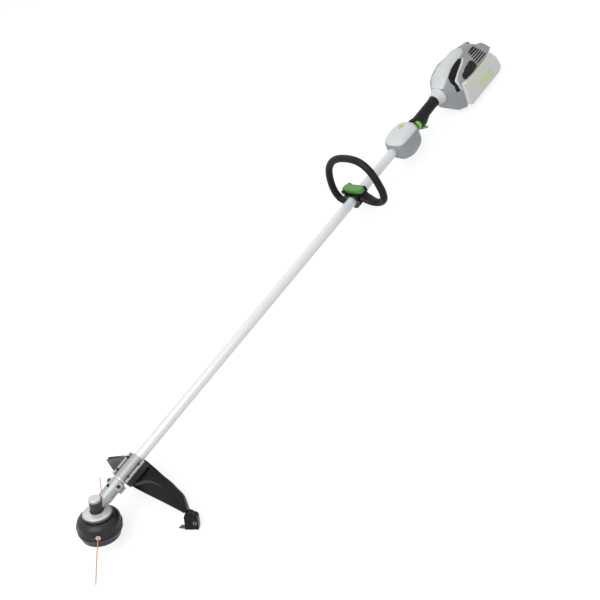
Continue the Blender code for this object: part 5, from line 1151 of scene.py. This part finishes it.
# The power head's sections in millimetres: place behind its front, half widths of base and side, heights of base
# and shoulder, half width and height where the slope breaks and where the top begins, and the corners' radius
HEAD_SECTIONS = MM * np.array([
    (0, 23.7, 26.8, -19.5, 8, 19, 19, 8, 25.5, 3), (6, 26, 29.9, -39, 12, 26, 29, 11, 38, 5),
    (20, 39, 41.3, -67, 20, 31, 41, 13, 56, 8), (45, 49.8, 52, -71, 24, 33, 47, 14, 63, 10),
    (90, 58.9, 62, -71, 26, 33.5, 48.5, 14, 66.5, 10), (115, 58.9, 62, -71, 24.5, 33, 47, 13.5, 66, 10),
    (140, 58.9, 61.2, -71, 22.5, 32, 43, 13, 59, 10), (168, 55.1, 58.2, -71, 20.5, 31.5, 38.5, 13, 48, 8),
    (188, 50.5, 54.3, -71, 18.5, 35, 31, 20, 37, 6), (202, 45.9, 49.8, -71, 17.5, 37, 26.5, 26.5, 31, 4)])
# How far the underside is raised on the way back from the front
UNDERSIDE = ((0.0, 0.006, 0.012, 0.020, 0.045), (0.0, 0.0100, 0.0100, 0.0040, 0.0))
# The height above the shaft at which the side wall begins to lean in
WALL_BREAK = -0.008
# Below this height the underside is raised
UNDERSIDE_TOP = -0.030
# Rows along the vents and their ridges, ribs of a vent, and cooling slots on each side
BAND_ROWS = 121
VENT_RIBS = 26
SLOT_COUNT = 6


def blended(a, b, width):
    """The lesser of two heights, with the corner between them rounded over a width."""
    share = np.clip(0.5 + 0.5 * (b - a) / width, 0.0, 1.0)
    return b * (1 - share) + a * share - width * share * (1 - share)


def head_values(offset):
    """The power head's section values at places behind its front."""
    return [np.interp(offset, HEAD_SECTIONS[:, 0], HEAD_SECTIONS[:, column]) for column in range(1, 10)]


def side_reach(offset, z):
    """How far the power head stands out from the middle plane at a height above the shaft."""
    base, side, low, shoulder, slope_y, slope_z, top_y, top_z, radius = head_values(offset)
    wall = np.where(z < WALL_BREAK, base + (side - base) * (z - low) / (WALL_BREAK - low), side)
    slope = side + (slope_y - side) * (z - shoulder) / (slope_z - shoulder)
    upper = slope_y + (top_y - slope_y) * (z - slope_z) / (top_z - slope_z)
    return blended(wall, np.where(z < slope_z, slope, upper), 0.6 * radius)


def top_height(offset, y):
    """How high the power head stands at a distance from the middle plane."""
    _, side, _, shoulder, slope_y, slope_z, top_y, top_z, radius = head_values(offset)
    away = np.abs(y)
    upper = slope_z + (top_z - slope_z) * (slope_y - away) / (slope_y - top_y)
    slope = shoulder + (slope_z - shoulder) * (side - away) / (side - slope_y)
    return blended(top_z, np.where(away < slope_y, upper, slope), 0.6 * radius)


def raised_underside(points):
    """Points of the power head, its underside moved by a share that grows downwards."""
    offset = points[:, 0] - POWER_START
    low = head_values(offset)[2]
    share = np.clip((UNDERSIDE_TOP - points[:, 2]) / (UNDERSIDE_TOP - low), 0.0, 1.0) * (low < -0.031)
    moved = points.copy()
    moved[:, 2] += share * np.interp(offset, *UNDERSIDE)
    return moved


def evenly(knots, count):
    """A line through knots in millimetres with corners rounded by 6 mm, divided evenly along its length."""
    line = softened(np.array(knots) * MM, 0.006, steps=6)
    run = run_of(line)
    return places_on(line, run, np.linspace(0.0, run[-1], count))


def between(near, far, columns):
    """Shares along and across a band between two lines, and its places."""
    u, v = shares(BAND_ROWS, columns)
    near, far = (evenly(line, BAND_ROWS)[:, None, :] for line in (near, far))
    return u, v, near * (1 - v[..., None]) + far * v[..., None]


def on_side(sign, flat, lift):
    """Places (behind the front, height) on the power head's side, standing out by a lift."""
    offset = flat[..., 0]
    z = flat[..., 1]
    return stacked(POWER_START + offset, sign * (side_reach(offset, z) + lift), z)


# Lines on the power head's side, as millimetres behind its front and above the shaft
VENT_OUTER = ((94.5, 59.2), (79.0, 59.6), (62.0, 57.4), (48.0, 54.2), (35.4, 50.0), (26.0, 46.0), (21.7, 37.3),
              (22.4, 24.3), (23.6, 11.0), (24.6, -2.0))
VENT_INNER = ((101.5, 53.6), (87.4, 49.7), (68.0, 45.3), (52.2, 41.0), (39.5, 35.6), (32.6, 30.5), (32.4, 22.1),
              (34.0, 10.0), (36.6, -3.0))
RIDGE_REAR = ((109.5, 50.8), (86.2, 44.0), (67.1, 39.4), (50.0, 34.4), (41.4, 29.0), (40.0, 16.0), (41.4, 4.0),
              (43.5, -6.0))
BADGE_CORNERS = ((115.0, 40.0, 7.0), (121.5, 34.0, 6.0), (114.0, 23.8, 6.0), (82.0, 20.4, 9.0), (60.5, 16.8, 6.0),
                 (54.5, 23.6, 6.0), (58.5, 31.8, 8.0), (82.0, 39.2, 12.0))
# The hood's half width at places behind the power head's front, in millimetres
HOOD = MM * np.array([(-4, 13), (0, 17.5), (4, 21.2), (8, 22.9), (17.6, 25.2), (24, 26.4), (30, 26.2), (45, 24.2),
                      (62, 22.8), (99, 22.6), (112, 21.5), (122, 19.2), (130, 14.8), (134, 9.5), (136.2, 3)])


class MakePowerHead(bpy.types.Operator):
    """The motor housing: hood, halves, vents and their ridges, plain badge plates, dark strips as painted shade
    in the cooling slots, and latch
    """
    bl_idname = "cutter.make_power_head"
    bl_label = "Make the power head"

    def execute(self, context):
        for label, _ in SIDES:
            finished_copy("housing_" + label, "motor_case_" + label, bevel=0.0006, reshape=raised_underside)
        finished_copy("battery_latch", "latch", "battery_latch", bevel=0.0008)
        finished_copy("terminal_block", "terminals", bevel=0.0006)
        self.hood()
        for label, sign in SIDES:
            self.vent(label, sign)
            self.ridge(label, sign)
            self.badge(label, sign)
            self.slot_shade_strips(label, sign)
        return {"FINISHED"}

    def hood(self):
        """The light hood: the head's top raised by a lift that falls off at the rim, with a visor in front."""
        start, end = HOOD[[0, -1], 0]
        offset = (start + (end - start) * np.linspace(0.0, 1.0, 90))[:, None]
        half = eased(offset[:, 0], HOOD)
        v = np.linspace(-1.0, 1.0, 61)[None, :]
        y = half * v
        rim = np.minimum((1.0 - np.abs(v)) * half, end - offset) / 0.0030
        crown = top_height(offset, y) + 0.0016 * domed(rim) - 0.0002
        visor = 0.0332 - 14.0 * y ** 2 + 0.25 * offset
        z = np.where(offset < 0.030, -blended(-crown, -visor, 0.006), crown)
        shell("hood", *(stacked(POWER_START + offset, y, height) for height in (z, z - 0.0020)),
              slot="light_grey_plastic", replaced="hood_shell")

    def vent(self, label, sign):
        """The bent side vent between its two lines, with ribs as a cosine along it."""
        u, v, flat = between(VENT_OUTER, VENT_INNER, 15)
        rim = np.minimum(np.minimum(v, 1 - v) / 0.12, np.minimum(u, 1 - u) / 0.02)
        lift = 0.0010 * domed(rim) + 0.0004 * np.cos(2 * np.pi * VENT_RIBS * u) * (rim >= 1.0)
        shell("side_vent_" + label, on_side(sign, flat, lift), on_side(sign, flat, -0.0020),
              replaced="vent_grille_" + label)

    def ridge(self, label, sign):
        """The ridge behind the vent, light grey as a painted highlight on its lit facet: steep beside it and
        sloping away to nothing.
        """
        u, v, flat = between(VENT_INNER, RIDGE_REAR, 11)
        ends = np.clip(np.minimum(u, 1 - u) / 0.08, 0.0, 1.0)
        lift = 0.0024 * np.interp(v, [0.0, 0.14, 0.28, 1.0], [0.2, 0.85, 1.0, 0.0]) * np.sqrt(ends) - 0.0002
        # Its light grey is a painted highlight where the ridge's facet faces the light
        shell("vent_ridge_" + label, on_side(sign, flat, lift), on_side(sign, flat, -0.0016),
              slot="light_grey_plastic", replaced="vent_grille_" + label)

    def badge(self, label, sign):
        """A plain gloss plate: rings of its outline drawn in to the middle, its lift falling off at the rim."""
        outline = rounded(BADGE_CORNERS, 6)
        outline = np.vstack([outline, outline[:1]])
        centre = outline.mean(axis=0)
        v = np.linspace(0.0, 1.0, 16)[:, None]
        flat = centre + (outline - centre) * v[..., None]
        lift = 0.0016 * domed((1.0 - v) / 0.10) + 0.0010
        shell("badge_plate_" + label, on_side(sign, flat, lift), on_side(sign, flat, -0.0012), kind="badge")

    def slot_shade_strips(self, label, sign):
        """Dark strips that fill the six cooling slots to just above the surface, as painted shade in the slots.
        """
        u, v = shares(25, 5, left=-1.0)
        flats = []
        for index in range(SLOT_COUNT):
            half = 0.0012 if index < 4 else 0.0016
            offset = (0.1190 + 0.0030 * index) * (1 - u) + (0.1730 - 0.0005 * index) * u
            z = (0.0265 + 0.0043 * index) * (1 - u) + (0.0225 + 0.0040 * index) * u
            ends = np.sqrt(np.clip(1.0 - (2 * u - 1) ** 12, 0.02, 1.0))
            flats.append(stacked(offset, z + half * v * ends))
        # Black strips standing just proud of the slots: painted shade in them
        fronts, backs = ([on_side(sign, flat, lift) for flat in flats] for lift in (0.0003, -0.0022))
        shell("painted_slot_shade_" + label, fronts, backs)


# Trims of the battery: name, slot, finish, steps in each corner, and the corners as millimetres behind its front
# and above the shaft with their radius
BATTERY_TRIMS = (
    ("edge_trim_", "bright_green_plastic", "cream_trim", 4, (8, 3, 2), (124, 3, 3), (130, 14.6, 1), (8, 14.6, 1)),
    ("side_patch_", "bright_green_plastic", "pale_green", 8, (56, -18, 10), (124, -23, 12), (129, -52, 12),
     (62, -55, 10)),
    ("front_rim_", "battery_plastic", "pale_rim", 3, (0.4, 0, 1), (5, 0, 1), (5, -58, 1), (0.4, -58, 1)))


class MakeBattery(bpy.types.Operator):
    """The battery's case and lid, with strips at its front, edge trims and plain side patches"""
    bl_idname = "cutter.make_battery"
    bl_label = "Make the battery"

    def execute(self, context):
        finished_copy("battery_case", "pack_case", "battery", bevel=0.0010, segments=3)
        piece = finished_copy("battery_lid", "pack_lid", "battery", "battery_plastic", bevel=0.0006)
        place = TOOL @ shift(BATTERY_START, 0.0, 0.0)
        for label, sign in SIDES:
            low, high = sorted((sign * (BATTERY_HALF - 0.0010), sign * (BATTERY_HALF + 0.0005)))
            for name, slot, kind, steps, *corners in BATTERY_TRIMS:
                prism(name + label, rounded(corners, steps), low, high, place, "y", 0.0003, body="battery",
                      slot=slot, kind=kind)
        return {"FINISHED"}


class FinishInnerPieces(bpy.types.Operator):
    """Give every CAD piece that still shows the finish of its slot"""
    bl_idname = "cutter.finish_inner_pieces"
    bl_label = "Finish the inner pieces"

    def execute(self, context):
        for name, node in frame["nodes"].items():
            node.material_slots[0].material = FINISHES[SLOTS[name]]
        return {"FINISHED"}


OPERATORS = (SetStage, MakeTrimmerLines, MakeShaft, MakeCuttingHead, MakeGuard, MakeLoopHandle, MakeFrontHousing,
             MakeRearGrip, MakePowerHead, MakeBattery, FinishInnerPieces)


class CutterPanel(bpy.types.Panel):
    """The brush cutter's steps and settings in the sidebar"""
    bl_idname = "VIEW3D_PT_brush_cutter"
    bl_label = "Brush Cutter"
    bl_space_type = "VIEW_3D"
    bl_region_type = "UI"
    bl_category = "Brush Cutter"

    def draw(self, context):
        column = self.layout.column()
        for settings in (context.scene.cutter_colours, context.scene.cutter_stage):
            for label in settings.__annotations__:
                column.prop(settings, label)
        for operator in OPERATORS:
            column.operator(operator.bl_idname)


CLASSES = (CutterColours, CutterStage) + OPERATORS + (CutterPanel,)


def register():
    """Register the classes and their settings."""
    for item in CLASSES:
        bpy.utils.register_class(item)
    bpy.types.Scene.cutter_colours = bpy.props.PointerProperty(type=CutterColours)
    bpy.types.Scene.cutter_stage = bpy.props.PointerProperty(type=CutterStage)


def unregister():
    """Remove the settings and the classes."""
    del bpy.types.Scene.cutter_stage
    del bpy.types.Scene.cutter_colours
    for item in reversed(CLASSES):
        bpy.utils.unregister_class(item)


def main():
    """Run every step in order."""
    register()
    make_groups()
    make_finishes(bpy.context.scene.cutter_colours)
    for operator in OPERATORS:
        group, step = operator.bl_idname.split(".")
        getattr(getattr(bpy.ops, group), step)()
    bpy.context.view_layer.update()


if __name__ == "__main__":
    main()
